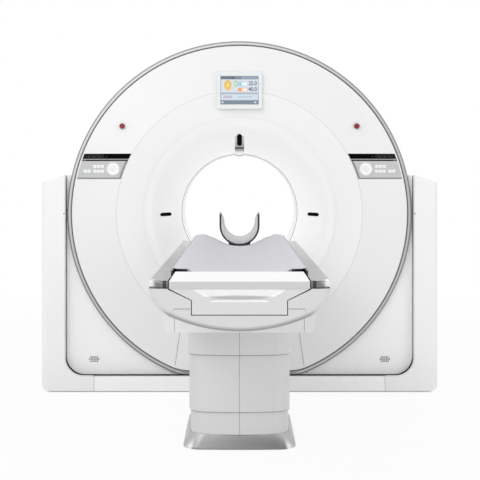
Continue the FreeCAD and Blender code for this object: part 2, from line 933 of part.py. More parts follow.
def stand_cover(name, side):
    """Moulded L-shaped cover: a hollow wing and a plinth board under the housing's corner."""
    body = new_body(name)
    inner = housing_half + stand_gap
    outer = inner + wing_width
    wall = wing_wall
    plinth_top = iso_height - housing_drop - stand_gap
    corner = housing_corner + stand_gap
    board = plinth_half + plinth_seam
    shoulder = wing_top - wing_slope
    low = floor_gap + wing_corner
    under = floor_gap - 5
    turned = mirrored if side < 0 else list
    upright = wing_plan(inner, outer, wing_front, wing_round)
    pad(body, "XY", [turned(upright)], wing_top - floor_gap, floor_gap)
    step = [
        (board, floor_gap),
        (inner + 1, floor_gap),
        (inner + 1, plinth_top + corner),
        (inner, plinth_top + corner, corner, -1),
        (inner - corner, plinth_top),
        (board, plinth_top),
    ]
    pad(body, "XZ", [turned(step)], wing_front * 2, both=True)
    slope = [
        (inner, wing_top),
        (outer, shoulder),
        (outer + 1, shoulder),
        (outer + 1, wing_top + 1),
        (inner, wing_top + 1),
    ]
    toe = [
        (outer - wing_corner, floor_gap, wing_corner, 1),
        (outer, low),
        (outer + 1, low),
        (outer + 1, floor_gap - 1),
        (outer - wing_corner, floor_gap - 1),
    ]
    pocket(body, "XZ", [turned(slope)], both=True)
    pocket(body, "XZ", [turned(toe)], both=True)
    front = wing_front - wall
    hollow = wing_plan(inner + wall, outer - wall, front, wing_round - wall)
    pocket(body, "XY", [turned(hollow)], shoulder - wall - low, low, back=True)
    below = rectangle(inner + wall, -front, outer - wing_corner, front)
    pocket(body, "XY", [turned(below)], low + 1 - under, under, back=True)
    inside_toe = [
        (outer - wing_corner - 1, floor_gap + wall),
        (outer - wing_corner, floor_gap + wall, wing_corner - wall, 1),
        (outer - wall, low),
        (outer - wall, low + 1),
        (outer - wing_corner - 1, low + 1),
    ]
    pocket(body, "XZ", [turned(inside_toe)], (wing_front - wing_round) * 2, both=True)
    attic = [
        (inner + wall, shoulder - wall * 3),
        (outer - wall * 2, shoulder - wall * 3),
        (outer - wall * 2, shoulder - wall),
        (inner + wall, wing_top - wall * 2),
    ]
    pocket(body, "XZ", [turned(attic)], (wing_front - wing_round) * 2, both=True)
    behind = [
        (board - 5, under),
        (inner + wall + 1, under),
        (inner + wall + 1, plinth_top - 1),
        (inner, plinth_top - 1),
        (inner, plinth_top + corner + 5),
        (board - 5, plinth_top + corner + 5),
    ]
    pocket(body, "XZ", [turned(behind)], (wing_front - plinth_thick) * 2, both=True)
    bore(body, "YZ", 0, iso_height, shaft_flange + stand_gap, wall * 4, side * inner, both=True)


def plinth_boards():
    """The two boards, front and rear, between the stand covers."""
    top = iso_height - housing_drop - stand_gap
    boards = []
    for name, low in (("front_board", -wing_front), ("rear_board", wing_front - plinth_thick)):
        corner = (-plinth_half, low, floor_gap)
        boards.append(box(name, corner, (plinth_half, low + plinth_thick, top)))
    node(join("plinth_boards", boards), "plinth_boards")


def tilt_gearbox():
    """Flat gear case on the right upright, with its motor beside the upright."""
    body = new_body("tilt_gearbox")
    start = housing_half + stand_gap + wing_wall + upright_inset + upright_thick
    pad_sketch = new_sketch(body, "YZ", start)
    draw_circle(pad_sketch, 0, iso_height, gearbox_radius)
    build(body, "Pad", pad_sketch, gearbox_thick)
    arm = new_sketch(body, "YZ", start)
    reach = motor_across
    draw(arm, rectangle(-reach, iso_height - motor_radius, 0, iso_height + motor_radius))
    build(body, "Pad", arm, gearbox_thick)
    nose = new_sketch(body, "YZ", start)
    draw_circle(nose, -reach, iso_height, motor_radius)
    build(body, "Pad", nose, gearbox_thick)
    motor = new_sketch(body, "YZ", start)
    draw_circle(motor, -reach, iso_height, motor_radius * 0.92)
    build(body, "Pad", motor, motor_long, back=True)
    bore(body, "YZ", 0, iso_height, shaft_nose + shaft_fit, both=True)


# ---- tilting gantry

def housing_shell():
    """Drum and lower block in one thin shell, open behind the front and rear covers."""
    body = gantry_body("housing_shell")
    pad(body, "XZ", [housing_corners(as_size(0))], housing_face * 2, both=True)
    pocket(body, "XZ", [housing_corners(housing_wall)], (housing_face - housing_wall) * 2, both=True)
    pocket(body, "XZ", [disc_corners(fascia_lap)], both=True)
    bore(body, "YZ", 0, 0, shaft_flange + shaft_fit, both=True)


def ring_trim():
    """Silver ring round the front cover, split beside the access panel."""
    body = gantry_body("ring_trim")
    depth = ring_front - housing_face
    pad(body, "XZ", [disc_corners(as_size(0)), disc_corners(ring_width)], depth, housing_face)

    def front_edge(edge):
        return near(edge.BoundBox.YMin, -ring_front) and near(edge.BoundBox.YMax, -ring_front)

    round_edges(body, ring_bevel, front_edge, "Chamfer")
    (top, top_z), _ = access_side(as_size(0))
    low = access_reach(as_size(0))
    split = [
        (low - seam, -ring_radius),
        (low + seam, -ring_radius),
        (top + seam, top_z),
        (top - seam, top_z),
    ]
    pocket(body, "XZ", [split, mirrored(split)], both=True)


def front_cover():
    """Moulded front cover with its openings."""
    body = gantry_body("front_cover")
    revolve(body, cover_half_section(-1))
    (top, top_z), _ = access_side(as_size(0))
    low = access_reach(as_size(0))
    access = [
        (-low, -ring_radius),
        (low, -ring_radius),
        (top, top_z, crease_radius, -1),
        (0, -crease_radius, crease_radius, -1),
        (-top, top_z),
    ]
    pocket(body, "XZ", [access], both=True)
    half = bezel_width / 2 + seam
    tall = bezel_tall / 2 + seam
    screen = rectangle(-half, display_height - tall, half, display_height + tall)
    gap = -(seam / 2)
    bands = [annulus_band(side, controls_bottom - seam / 2, strip_top + seam / 2, controls_margin + gap)
             for side in (-1, 1)]
    pocket(body, "XZ", [screen] + bands, ring_radius, back=True)
    holes = new_sketch(body, "XZ")
    for side in (-1, 1):
        draw_circle(holes, side * stop_across, stop_height, stop_stem + shaft_fit)
    build(body, "Pocket", holes, ring_radius, back=True)


def lower_access_panel():
    """Panel below the crease, with two bosses that reach the housing."""
    body = gantry_body("lower_access_panel")
    edge = cover_edge()
    wall = cover_wall
    revolve(body, [
        (-crease_front, crease_radius),
        (-(crease_front - wall), crease_radius),
        (-(ring_front - wall), edge),
        (-ring_front, edge),
    ])
    keep_inside(body, [access_outline(seam)])
    top = -(housing_drop - fascia_lap) - panel_boss / 4
    low = -(housing_drop - ring_width - cover_gap) + wall
    place_x = panel_boss_place
    boss = rectangle(place_x - panel_boss, low, place_x + panel_boss, top)
    slope = (crease_front - ring_front) / (edge - crease_radius)
    depth = ring_front - housing_face - wall / 2 + slope * (edge + low)
    pad(body, "XZ", [boss, mirrored(boss)], depth, housing_face)


def rear_cover():
    body = gantry_body("rear_cover")
    revolve(body, cover_half_section(1))
    foot = housing_drop - cover_wall
    pocket(body, "XZ", [rectangle(-ring_radius, -ring_radius, ring_radius, -foot)], both=True)


def front_bore_funnel():
    """Front funnel, with openings for the laser strip and the side windows."""
    body = gantry_body("front_bore_funnel")
    revolve(body, funnel_half_section(-1))
    round_funnel(body)
    lip = laser_half + seam / 2
    high = laser_high + seam / 2
    eye = eye_half + seam / 2
    eye_top = eye_high + seam / 2
    over = high - (eye_top - eye)
    notch = root(eye * eye - over * over)
    strip = [
        (-lip, laser_low - seam / 2),
        (lip, laser_low - seam / 2),
        (lip, high),
        (notch, high, eye, 1),
        (0, eye_top, eye, 1),
        (-notch, high),
        (-lip, high),
    ]
    sides = [side_eye(side, -(seam / 2)) for side in (-1, 1)]
    pocket(body, "XZ", [strip] + sides, ring_radius, back=True)


def rear_bore_funnel():
    body = gantry_body("rear_bore_funnel")
    revolve(body, funnel_half_section(1))
    round_funnel(body)


def bore_liner_rings():
    """Two straight liner rings, one on each side of the scan window."""
    body = gantry_body("bore_liner_rings")
    revolve(body, liner_half_section(-1))
    revolve(body, liner_half_section(1))


def scan_window():
    """Thin ring that the X-ray fan passes through."""
    body = gantry_body("scan_window")
    revolve(body, [
        (-window_half, bore_radius),
        (window_half, bore_radius),
        (window_half, bore_radius + window_wall),
        (-window_half, bore_radius + window_wall),
    ])


def display():
    """White bezel set in the front cover, and the screen in it."""
    bezel = gantry_body("display_bezel")
    half = bezel_width / 2
    low = display_height - bezel_tall / 2
    high = display_height + bezel_tall / 2
    pad(bezel, "XZ", [rectangle(-half, low, half, high)], bezel_front - bezel_back, bezel_back)

    def corner_edge(edge):
        return along(edge, FreeCAD.Vector(0, 1, 0))

    round_edges(bezel, bezel_corner, corner_edge)
    half_screen = screen_width / 2
    low_screen = display_height - screen_tall / 2
    high_screen = display_height + screen_tall / 2
    glass = rectangle(-half_screen, low_screen, half_screen, high_screen)
    pocket(bezel, "XZ", [glass], screen_thick, bezel_front)

    def front_rim(edge):
        box_of = edge.BoundBox
        return near(box_of.YMin, -bezel_front) and near(box_of.YMax, -bezel_front)

    round_edges(bezel, bezel_corner / 7, front_rim)
    screen = gantry_body("display_screen")
    pad(screen, "XZ", [glass], screen_thick - 2, bezel_front - screen_thick)


def laser_strip():
    body = gantry_body("laser_strip")
    funnel_layer(body, inlay_proud)
    eye = eye_half + pad_seat
    strip = [
        (-laser_half, laser_low),
        (laser_half, laser_low),
        (laser_half, laser_high),
        (eye, laser_high),
        (eye, eye_low + eye, eye, -1),
        (0, eye_low, eye, -1),
        (-eye, eye_low + eye),
        (-eye, laser_high),
        (-laser_half, laser_high),
    ]
    keep_inside(body, [strip])


def laser_windows():
    """Three dark windows in the funnel: one above the bore and one on each side."""
    body = gantry_body("laser_windows")
    funnel_layer(body, inlay_proud * 2)
    gap = pad_seat
    keep_inside(body, [top_eye(gap), side_eye(-1, as_size(0)), side_eye(1, as_size(0))])


def dial_frame(side):
    """Centre of a round control and the outward direction of the cover there."""
    across = side * dial_across.value
    height = dial_height.value
    radius = math.hypot(across, height)
    run = (cover_edge() - crease_radius).value
    drop = (crease_front - ring_front).value
    surface = -crease_front.value + (radius - crease_radius.value) * drop / run
    tilt = math.atan2(drop, run)
    outward = FreeCAD.Vector(
        math.sin(tilt) * across / radius, -math.cos(tilt), math.sin(tilt) * height / radius)
    return FreeCAD.Vector(across, surface, height + iso_height.value), outward


def round_disc(name, side, radius, start, length):
    """A disc on the outer cone, from a depth below its surface outwards."""
    centre, outward = dial_frame(side)
    disc = document.addObject("Part::Cylinder", name)
    bind(disc, "Radius", radius)
    bind(disc, "Height", length)
    rotation = FreeCAD.Rotation(FreeCAD.Vector(0, 0, 1), outward)
    disc.Placement = FreeCAD.Placement(centre + outward * as_size(start).value, rotation)
    return disc


def control_panels():
    """Two grey keypad panels, each with a round recess for its positioning button."""
    body = bare_body("panel_blanks", 0, 0, iso_height)
    outer_cone_layer(body, inlay_proud)
    bands = [annulus_band(side, controls_bottom, controls_top, controls_margin) for side in (-1, 1)]
    keep_inside(body, bands)
    depth = dial_proud - dial_thick - dial_travel - pad_seat
    recesses = [round_disc(name, side, dial_radius + pad_seat, depth, dial_thick * 4)
                for name, side in (("left_recess", -1), ("right_recess", 1))]
    node(cut("control_panels", body, join("panel_recesses", recesses)), "control_panels")


def status_strips():
    """The two black glass strips above the keypads."""
    body = gantry_body("status_strips")
    outer_cone_layer(body, inlay_proud)
    bands = [annulus_band(side, strip_bottom, strip_top, controls_margin) for side in (-1, 1)]
    keep_inside(body, bands)


def round_button(name, side):
    """Round positioning button that presses into the keypad panel."""
    node(round_disc(name, side, dial_radius, dial_proud - dial_thick, dial_thick), name)


def stop_button(name, side):
    """Red mushroom button on a stem through the front cover."""
    reach = stop_across * stop_across + stop_height * stop_height
    run = (root(reach) - crease_radius - stop_radius) / (cover_edge() - crease_radius)
    surface = crease_front - (crease_front - ring_front) * run
    under = surface + stop_travel + seam
    where = (side * stop_across, -(under + stop_thick), iso_height + stop_height)
    head = rod(name + "_head", where, stop_radius, stop_thick, turn_to_y)
    stem_at = (side * stop_across, -under, iso_height + stop_height)
    stem = rod(name + "_stem", stem_at, stop_stem, stop_travel * 6, turn_to_y)
    node(join(name, [head, stem]), name)


def tilt_frame():
    """Cast frame: a bored plate and two yokes that reach forward to the tilt shafts."""
    body = gantry_body("tilt_frame")
    plate = new_sketch(body, "XZ", -frame_back)
    draw_circle(plate, 0, 0, frame_radius)
    draw_circle(plate, 0, 0, frame_hole)
    build(body, "Pad", plate, frame_back - frame_front)
    outer = housing_half - housing_wall
    inner = outer - yoke_thick
    start = frame_radius - yoke_thick * 2
    arm = rectangle(start, -yoke_half, outer, yoke_half)
    pad(body, "XZ", [arm, mirrored(arm)], frame_back - frame_front, -frame_back)
    yoke = rectangle(inner, -yoke_half, outer, yoke_half)
    pad(body, "XZ", [yoke, mirrored(yoke)], frame_back + yoke_front, -frame_back)


def tilt_shafts():
    """Flanged shafts on both yokes, which carry the gantry in the stand."""
    parts = []
    start = housing_half - housing_wall
    upright_end = housing_half + stand_gap + wing_wall + upright_inset + upright_thick
    for name, side, turn in (("left", -1, -90), ("right", 1, 90)):
        rotation = FreeCAD.Rotation(FreeCAD.Vector(0, 1, 0), turn)
        spot = (side * start, 0, iso_height)
        parts.append(rod(name + "_flange", spot, shaft_flange, housing_wall, rotation))
        parts.append(rod(name + "_journal", spot, shaft_radius, upright_end - start, rotation))
        parts.append(rod(name + "_nose", spot, shaft_nose, upright_end + gearbox_thick - 4 - start, rotation))
    node(join("tilt_shafts", parts), "tilt_shafts")


def main_bearing():
    """Outer ring of the main bearing, flanged on the tilting frame."""
    body = gantry_body("bearing_outer_ring")
    inner = hub_radius + bearing_fit
    revolve(body, [
        (frame_front - bearing_step, inner),
        (frame_back, inner),
        (frame_back, frame_hole - shaft_fit),
        (frame_front, frame_hole - shaft_fit),
        (frame_front, bearing_flange),
        (frame_front - bearing_step, bearing_flange),
    ])


def rotor_drum():
    """Rotating drum: hub, plate and rim."""
    body = gantry_body("rotor_drum")
    plate_back = rotor_front + rotor_plate
    revolve(body, [
        (rotor_front, rotor_inner),
        (plate_back, rotor_inner),
        (plate_back, hub_radius - hub_wall),
        (hub_back, hub_radius - hub_wall),
        (hub_back, hub_radius),
        (plate_back, hub_radius),
        (plate_back, rotor_radius),
        (-rotor_rim_front, rotor_radius),
        (-rotor_rim_front, rotor_radius - rotor_rim),
        (rotor_front, rotor_radius - rotor_rim),
    ])


def slip_ring():
    body = gantry_body("slip_ring")
    inner = hub_radius - hub_wall
    revolve(body, [
        (hub_back, inner),
        (hub_back + slip_thick, inner),
        (hub_back + slip_thick, inner + slip_width),
        (hub_back, inner + slip_width),
    ])


def xray_tube():
    """Tube housing with its axis along the gantry's, and a neck on the plate."""
    spot = (0, -tube_front, iso_height + tube_centre)
    case = rod("tube_case", spot, tube_radius, tube_front + rotor_front - 20, turn_to_y)
    neck = rod("tube_neck", spot, tube_radius * 0.7, tube_front + rotor_front, turn_to_y)
    node(join("xray_tube", [case, neck]), "xray_tube")


def collimator():
    """Box under the tube, with the slot that the fan beam leaves by."""
    top = tube_centre - tube_radius - seam
    low = (-collimator_half, -collimator_half / 2, iso_height + collimator_low)
    high = (collimator_half, rotor_front, iso_height + top)
    case = box("collimator_case", low, high)
    slot_low = (-(collimator_half * 0.8), -10, iso_height + collimator_low - 1)
    slot_high = (collimator_half * 0.8, 10, iso_height + top + 1)
    node(cut("collimator", case, box("collimator_slot", slot_low, slot_high)), "collimator")


def detector_arc():
    """Detector bank on an arc centred on the tube's focal spot."""
    body = gantry_body("detector_arc")
    angle = math.radians(detector_angle.value)
    sine = Size(math.sin(angle), "sin(Sizes.detector_angle)")
    cosine = Size(math.cos(angle), "cos(Sizes.detector_angle)")
    near_r = detector_reach
    far_r = detector_reach + detector_thick
    arc = [
        (near_r * sine, focus_radius - near_r * cosine, near_r, -1),
        (0, focus_radius - near_r, near_r, -1),
        (-(near_r * sine), focus_radius - near_r * cosine),
        (-(far_r * sine), focus_radius - far_r * cosine, far_r, 1),
        (0, focus_radius - far_r, far_r, 1),
        (far_r * sine, focus_radius - far_r * cosine),
    ]
    pad(body, "XZ", [arc], detector_front + rotor_front, -rotor_front)


def hv_generator():
    """High-voltage supply on the drum's plate, across from the cooler."""
    low = (crate_inner, -crate_front, iso_height - generator_half)
    high = (crate_outer, rotor_front, iso_height + generator_half)
    node(box("hv_generator", low, high), "hv_generator")


def heat_exchanger():
    """Finned cooler, balanced against the generator."""
    body = new_body("heat_exchanger", -crate_outer, -crate_front, iso_height - crate_half)
    wide = crate_outer - crate_inner
    deep = crate_front + rotor_front
    pad(body, "XY", [rectangle(0, 0, wide, deep)], crate_half * 2)
    step = crate_half * 2 / fin_count
    gap = rectangle(-1, step * 0.3, wide * 0.35, step * 0.7)
    sketch = new_sketch(body, "XZ")
    draw(sketch, gap)
    slot = build(body, "Pocket", sketch, None, both=True)
    document.recompute()
    rows = body.newObject("PartDesign::LinearPattern", "fins")
    rows.Originals = [slot]
    rows.Direction = (plane_axis(body, "Z_Axis"), [""])
    bind(rows, "Length", crate_half * 2 - step)
    bind(rows, "Occurrences", fin_count)
    body.Tip = rows


def plane_axis(body, role):
    return [axis for axis in body.Origin.OriginFeatures if axis.Role == role][0]


def counterweight():
    low = (-weight_half, -crate_front, iso_height - weight_outer)
    high = (weight_half, rotor_front, iso_height - weight_inner)
    node(box("counterweight", low, high), "counterweight")


# ---- patient table

def side_rail(name, side):
    """Aluminium side rail with a round outer corner at the near end."""
    body = new_body(name)
    corner = rail_corner
    shape = [
        (rail_inner, -table_near),
        (rail_outer - corner, -table_near, corner, 1),
        (rail_outer, -(table_near - corner)),
        (rail_outer, -table_far),
        (rail_inner, -table_far),
    ]
    shape = shape if side > 0 else mirrored(shape)
    pad(body, "XY", [shape], rail_top - rail_bottom, rail_bottom)

    def outer_edge(edge):
        middle = edge.CenterOfMass
        level = near(edge.BoundBox.ZMin, edge.BoundBox.ZMax)
        outside = near(abs(middle.x), rail_outer) or is_circle(edge, corner)
        ends = near(middle.y, -table_near)
        return level and (outside or ends)

    round_edges(body, rail_round, outer_edge)


def deck_section():
    """The folded deck: floor, risers, guide shelves, walls and top flanges."""
    wall = deck_wall
    flange = box_half - cover_skin - seam / 2
    floor = keel_bottom - keel_gap
    riser = keel_half + keel_gap
    shelf = deck_shelf
    return [
        (-(riser + wall), floor - wall),
        (riser + wall, floor - wall),
        (riser + wall, shelf - wall),
        (rail_inner + wall, shelf - wall),
        (rail_inner + wall, rail_bottom - wall),
        (flange, rail_bottom - wall),
        (flange, rail_bottom),
        (rail_inner, rail_bottom),
        (rail_inner, shelf),
        (riser, shelf),
        (riser, floor),
        (-riser, floor),
        (-riser, shelf),
        (-rail_inner, shelf),
        (-rail_inner, rail_bottom),
        (-flange, rail_bottom),
        (-flange, rail_bottom - wall),
        (-(rail_inner + wall), rail_bottom - wall),
        (-(rail_inner + wall), shelf - wall),
        (-(riser + wall), shelf - wall),
    ]


def table_deck():
    """Folded deck with the lift head under it and the roller's bearings on it."""
    body = new_body("table_deck")
    near_end = table_near - belly_front_wall
    far_end = table_far + deck_end_gap
    pad(body, "XZ", [deck_section()], near_end - far_end, far_end)
    half = upper_half - 2
    long = upper_length - 2
    top = rectangle(-half, -(pedestal_place + long), half, -(pedestal_place - long))
    pad(body, "XY", [top], keel_bottom - keel_gap - deck_wall / 2 - lift_head, lift_head)
    axle_height = cradle_bottom - guide_fit - roller_radius
    inner = roller_half + 1
    floor = keel_bottom - keel_gap
    cheek = rectangle(inner, floor - 1, inner + 8, axle_height + roller_pin + 6)
    far = roller_place - roller_radius
    pad(body, "XZ", [cheek, mirrored(cheek)], roller_radius * 2, far)
    bore(body, "YZ", -roller_place, axle_height, roller_pin + guide_fit, roller_half * 3, both=True)
    spindles = new_sketch(body, "YZ", rail_inner)
    draw_circle(spindles, -pulley_near, pulley_axis, spindle_radius + pulley_fit)
    draw_circle(spindles, -pulley_far, pulley_axis, spindle_radius + pulley_fit)
    build(body, "Pocket", spindles, deck_wall * 4, both=True)


def bowl_corners(inset):
    """The belly's section: a shallow bowl below the rails."""
    turn_z = belly_turn + inset * 0.9
    turn_x = belly_turn_half - inset * 0.4
    bottom = belly_depth + inset
    side_x = rail_outer - inset
    sag = turn_z - bottom
    sweep = (turn_x * turn_x + sag * sag) / (sag * 2)
    side = belly_side_round
    top = rail_bottom
    return [
        (0, bottom, sweep, 1),
        (turn_x, turn_z, side, 1),
        (side_x, top),
        (-side_x, top, side, 1),
        (-turn_x, turn_z, sweep, 1),
    ]


def keel_opening():
    """The opening round the keel's face in the belly's end wall."""
    gap = keel_gap
    half = [
        (keel_half + gap, keel_bottom - gap),
        (keel_half + gap, keel_shoulder - gap / 2),
        (rail_inner, rail_bottom - gap),
        (rail_inner, rail_bottom + gap),
    ]
    return [(-x, z) for x, z in reversed(half)] + half


def belly_cover():
    """Moulded cover under the near end, with the keel's opening and shallow panel lines."""
    body = new_body("belly_cover")
    length = table_near - box_near
    pad(body, "XZ", [bowl_corners(as_size(0))], length, box_near)

    def lower_rim(edge):
        box_of = edge.BoundBox
        at_front = near(box_of.YMin, -table_near) and near(box_of.YMax, -table_near)
        return at_front and not isinstance(edge.Curve, Part.Line)

    round_edges(body, belly_round, lower_rim)
    inner = bowl_corners(cover_skin)
    pocket(body, "XZ", [inner], length - belly_front_wall, box_near, back=True)
    pocket(body, "XZ", [keel_opening()], belly_front_wall * 2, table_near)
    lines = []
    riser = keel_half + keel_gap
    for side in (-1, 1):
        line = rectangle(riser, hatch_line - groove, hatch_half, hatch_line)
        post = rectangle(hatch_half, belly_turn + 6, hatch_half + groove, hatch_line)
        lines += [line, post] if side > 0 else [mirrored(line), mirrored(post)]
    pocket(body, "XZ", lines, groove, table_near)


def deck_clearance():
    """The outline that the deck passes through, a little larger than the deck."""
    gap = seam / 2
    wall = deck_wall
    riser = keel_half + keel_gap + wall + gap
    wide = rail_inner + wall + gap
    floor = keel_bottom - keel_gap - wall - gap
    shelf = deck_shelf - wall - gap
    half = [
        (riser, floor),
        (riser, shelf),
        (wide, shelf),
        (wide, rail_bottom - wall - gap),
        (box_half - cover_skin, rail_bottom - wall - gap),
        (box_half - cover_skin, rail_bottom + gap),
    ]
    return [(-x, z) for x, z in reversed(half)] + half


def box_corners(inset):
    """The section of the box cover, narrower below its knee."""
    return [
        (-(box_foot_half - inset), box_bottom + inset),
        (box_foot_half - inset, box_bottom + inset),
        (box_half - inset, box_knee),
        (box_half - inset, rail_bottom),
        (-(box_half - inset), rail_bottom),
        (-(box_half - inset), box_knee),
    ]


def shell_outline(half, length, rise=bow):
    """Plan of a pedestal cover: round corners and a bowed front, centred on the pedestal."""
    corner = shell_corner
    chord = half - corner
    curve = (chord * chord + rise * rise) / (rise * 2)
    return [
        (-half, -(length - corner), corner, 1),
        (-(half - corner), -length, curve, 1),
        (half - corner, -length, corner, 1),
        (half, -(length - corner)),
        (half, length - corner, corner, 1),
        (half - corner, length),
        (-(half - corner), length, corner, 1),
        (-half, length - corner),
    ]


def moved(corners, shift):
    return [(corner[0], corner[1] + shift) + tuple(corner[2:]) for corner in corners]


def under_cover():
    """Box cover over the lift head, running on as a bowl towards the gantry."""
    body = new_body("under_cover")
    far_end = table_far + deck_end_gap
    pad(body, "XZ", [box_corners(as_size(0))], box_near - box_far, box_far)
    pad(body, "XZ", [bowl_corners(as_size(0))], box_far - far_end, far_end)
    pocket(body, "XZ", [box_corners(cover_skin)], box_near - box_far - cover_skin * 2,
           box_far + cover_skin, back=True)
    pocket(body, "XZ", [bowl_corners(cover_skin)], box_far - far_end - cover_skin,
           far_end + cover_skin, back=True)
    pocket(body, "XZ", [deck_clearance()], both=True)
    hole = shell_outline(upper_half + seam / 2, upper_length + seam / 2)
    pocket(body, "XY", [moved(hole, -pedestal_place)], cover_skin * 2, box_bottom, both=True)
    lines = []
    for side in (-1, 1):
        line = rectangle(box_line_half, box_bottom - 1, box_line_half + groove, box_knee + box_line_rise)
        lines.append(line if side > 0 else mirrored(line))
    pocket(body, "XZ", lines, groove, box_near)


def guide_rails():
    rails = []
    for name, side in (("left", -1), ("right", 1)):
        centre = side * guide_across
        low = (centre - guide_half, -guide_near, deck_shelf)
        high = (centre + guide_half, -guide_far, deck_shelf + guide_tall)
        rails.append(box(name + "_guide", low, high))
    node(join("guide_rails", rails), "guide_rails")


def grip_outline(foot, top, low, high):
    """Half widths at foot and top, between two heights."""
    return [(-foot, low), (foot, low), (top, high), (-top, high)]


def carriage():
    """Keel face with its grip, bed plate and the bearing blocks on the guides."""
    body = new_body("carriage")
    face = [
        (-keel_half, keel_bottom),
        (keel_half, keel_bottom),
        (keel_half, keel_shoulder),
        (cap_half, rail_bottom),
        (-cap_half, rail_bottom),
        (-keel_half, keel_shoulder),
    ]
    pad(body, "XZ", [face], keel_thick, keel_face - keel_thick)
    mouth = new_sketch(body, "XZ", keel_face)
    draw(mouth, grip_outline(grip_foot_half, grip_top_half, grip_foot, rail_bottom))
    bottom = new_sketch(body, "XZ", keel_face - grip_depth)
    draw(bottom, grip_outline(grip_in_foot_half, grip_in_half, grip_in_foot, grip_in_top))
    loft(body, "SubtractiveLoft", mouth, bottom)
    bed = rectangle(-carriage_half, cradle_bottom - bed_thick, carriage_half, cradle_bottom)
    behind = keel_face - keel_thick
    pad(body, "XZ", [bed], carriage_length - keel_thick, keel_face - carriage_length)
    web = rectangle(-carriage_half, keel_bottom, -(carriage_half - 10), cradle_bottom)
    pad(body, "XZ", [web, mirrored(web)], carriage_length - keel_thick, keel_face - carriage_length)
    outer = guide_across + block_half
    slot = guide_half + guide_fit
    top = deck_shelf + guide_tall + guide_fit
    low = deck_shelf + guide_fit
    block = [
        (carriage_half - 1, top - 6),
        (guide_across - block_half, top - 6),
        (guide_across - block_half, low),
        (guide_across - slot, low),
        (guide_across - slot, top),
        (guide_across + slot, top),
        (guide_across + slot, low),
        (outer, low),
        (outer, block_top),
        (carriage_half - 1, block_top),
    ]
    for start in (behind - block_length * 1.5, keel_face - carriage_length):
        pad(body, "XZ", [block, mirrored(block)], block_length, start)
    belt_top = pulley_axis + pulley_radius + belt_thick + guide_fit
    belt_edge = belt_across - belt_half
    clamp = [
        (outer - 2, block_top - 4),
        (belt_edge - 2, block_top - 4),
        (belt_edge - 2, belt_top),
        (belt_across + belt_half, belt_top),
        (belt_across + belt_half, belt_top + 6),
        (outer - 2, belt_top + 6),
    ]
    pad(body, "XZ", [clamp], block_length, keel_face - carriage_length)


def cradle():
    """Long carbon trough with turned-up rims."""
    body = new_body("cradle")
    wall = cradle_wall
    base = cradle_bottom
    outer = [
        (cradle_flat, base),
        (cradle_turn, base + cradle_turn_rise),
        (cradle_half, base + cradle_rim_rise),
        (cradle_half, cradle_rim),
        (cradle_half - cradle_lip, cradle_rim),
        (cradle_half - cradle_lip, base + cradle_rim_rise + 2),
        (cradle_turn - 3, base + cradle_turn_rise + wall - 2),
        (cradle_flat, base + wall),
    ]
    left = [(-x, z) for x, z in reversed(outer)]
    near_end = table_near - cradle_near_gap
    pad(body, "XZ", [outer + left], near_end - cradle_far, cradle_far)


def mattress():
    """Pad in the trough: crowned edges, a flat middle and rounded ends."""
    body = new_body("mattress")
    seat = pad_seat
    base = cradle_bottom + cradle_wall + seat
    edge = cradle_half - cradle_lip - seat
    half = [
        (cradle_flat, base),
        (cradle_turn - 3, base + cradle_turn_rise - 2 + seat),
        (edge, base + cradle_rim_rise - cradle_wall + 3 + seat),
        (edge, cradle_rim + seat),
        (cradle_half, cradle_rim + seat),
        (cradle_half, cradle_rim + pad_roll),
        (pad_peak_half, pad_peak),
        (pad_flat, pad_centre + pad_rise),
        (0, pad_centre),
    ]
    left = [(-x, z) for x, z in reversed(half[:-1])]
    near_end = table_near - cradle_near_gap - pad_set_back
    far_end = cradle_far + pad_rise * 2
    pad(body, "XZ", [half + left], near_end - far_end, far_end)

    def long_top(edge_of):
        middle = edge_of.CenterOfMass
        runs = along(edge_of, FreeCAD.Vector(0, 1, 0))
        return runs and near(abs(middle.x), pad_peak_half)

    def roll_top(edge_of):
        middle = edge_of.CenterOfMass
        outside = near(abs(middle.x), cradle_half)
        return along(edge_of, FreeCAD.Vector(0, 1, 0)) and outside and near(middle.z, cradle_rim + pad_roll)

    round_edges(body, pad_round, long_top)
    round_edges(body, pad_roll / 2, roll_top)


def cradle_end_cap():
    """White end cap with a sloping top and bevelled ends."""
    body = new_body("cradle_end_cap")
    back = table_near - cap_depth
    shape = [
        (-table_near, rail_bottom),
        (-back, rail_bottom),
        (-back, cap_top),
        (-(back + 6), cap_top),
        (-table_near, cap_ridge),
    ]
    pad(body, "YZ", [shape], cap_half * 2, both=True)
    corner = [(cap_top_half, cap_top + 1), (cap_half + 1, cap_ridge), (cap_half + 1, cap_top + 1)]
    pocket(body, "XZ", [corner, mirrored(corner)], both=True)

    def long_edge(edge):
        middle = edge.CenterOfMass
        runs = along(edge, FreeCAD.Vector(1, 0, 0))
        return runs and middle.z > rail_bottom.value + 1 and middle.y < -back.value - 1

    round_edges(body, 3, long_edge)


def holder_outline(half, centre, bottom, top):
    """A U outline with a round bottom."""
    return [
        (half, centre),
        (half, top),
        (-half, top),
        (-half, centre, half, 1),
        (0, bottom, half, 1),
    ]


def head_holder():
    body = new_body("head_holder")
    centre = holder_bottom + holder_half
    length = holder_near - holder_far
    tongue = rectangle(-cradle_flat, cradle_bottom, cradle_flat, holder_bottom + holder_wall * 3)
    pad(body, "XZ", [tongue], holder_tongue + cradle_far - holder_near, holder_near - holder_tongue)
    outer = holder_outline(holder_half, centre, holder_bottom, holder_top)
    pad(body, "XZ", [outer], length, holder_far)
    inner = holder_outline(holder_half - holder_wall, centre, holder_bottom + holder_wall, holder_top)
    pocket(body, "XZ", [inner], both=True)


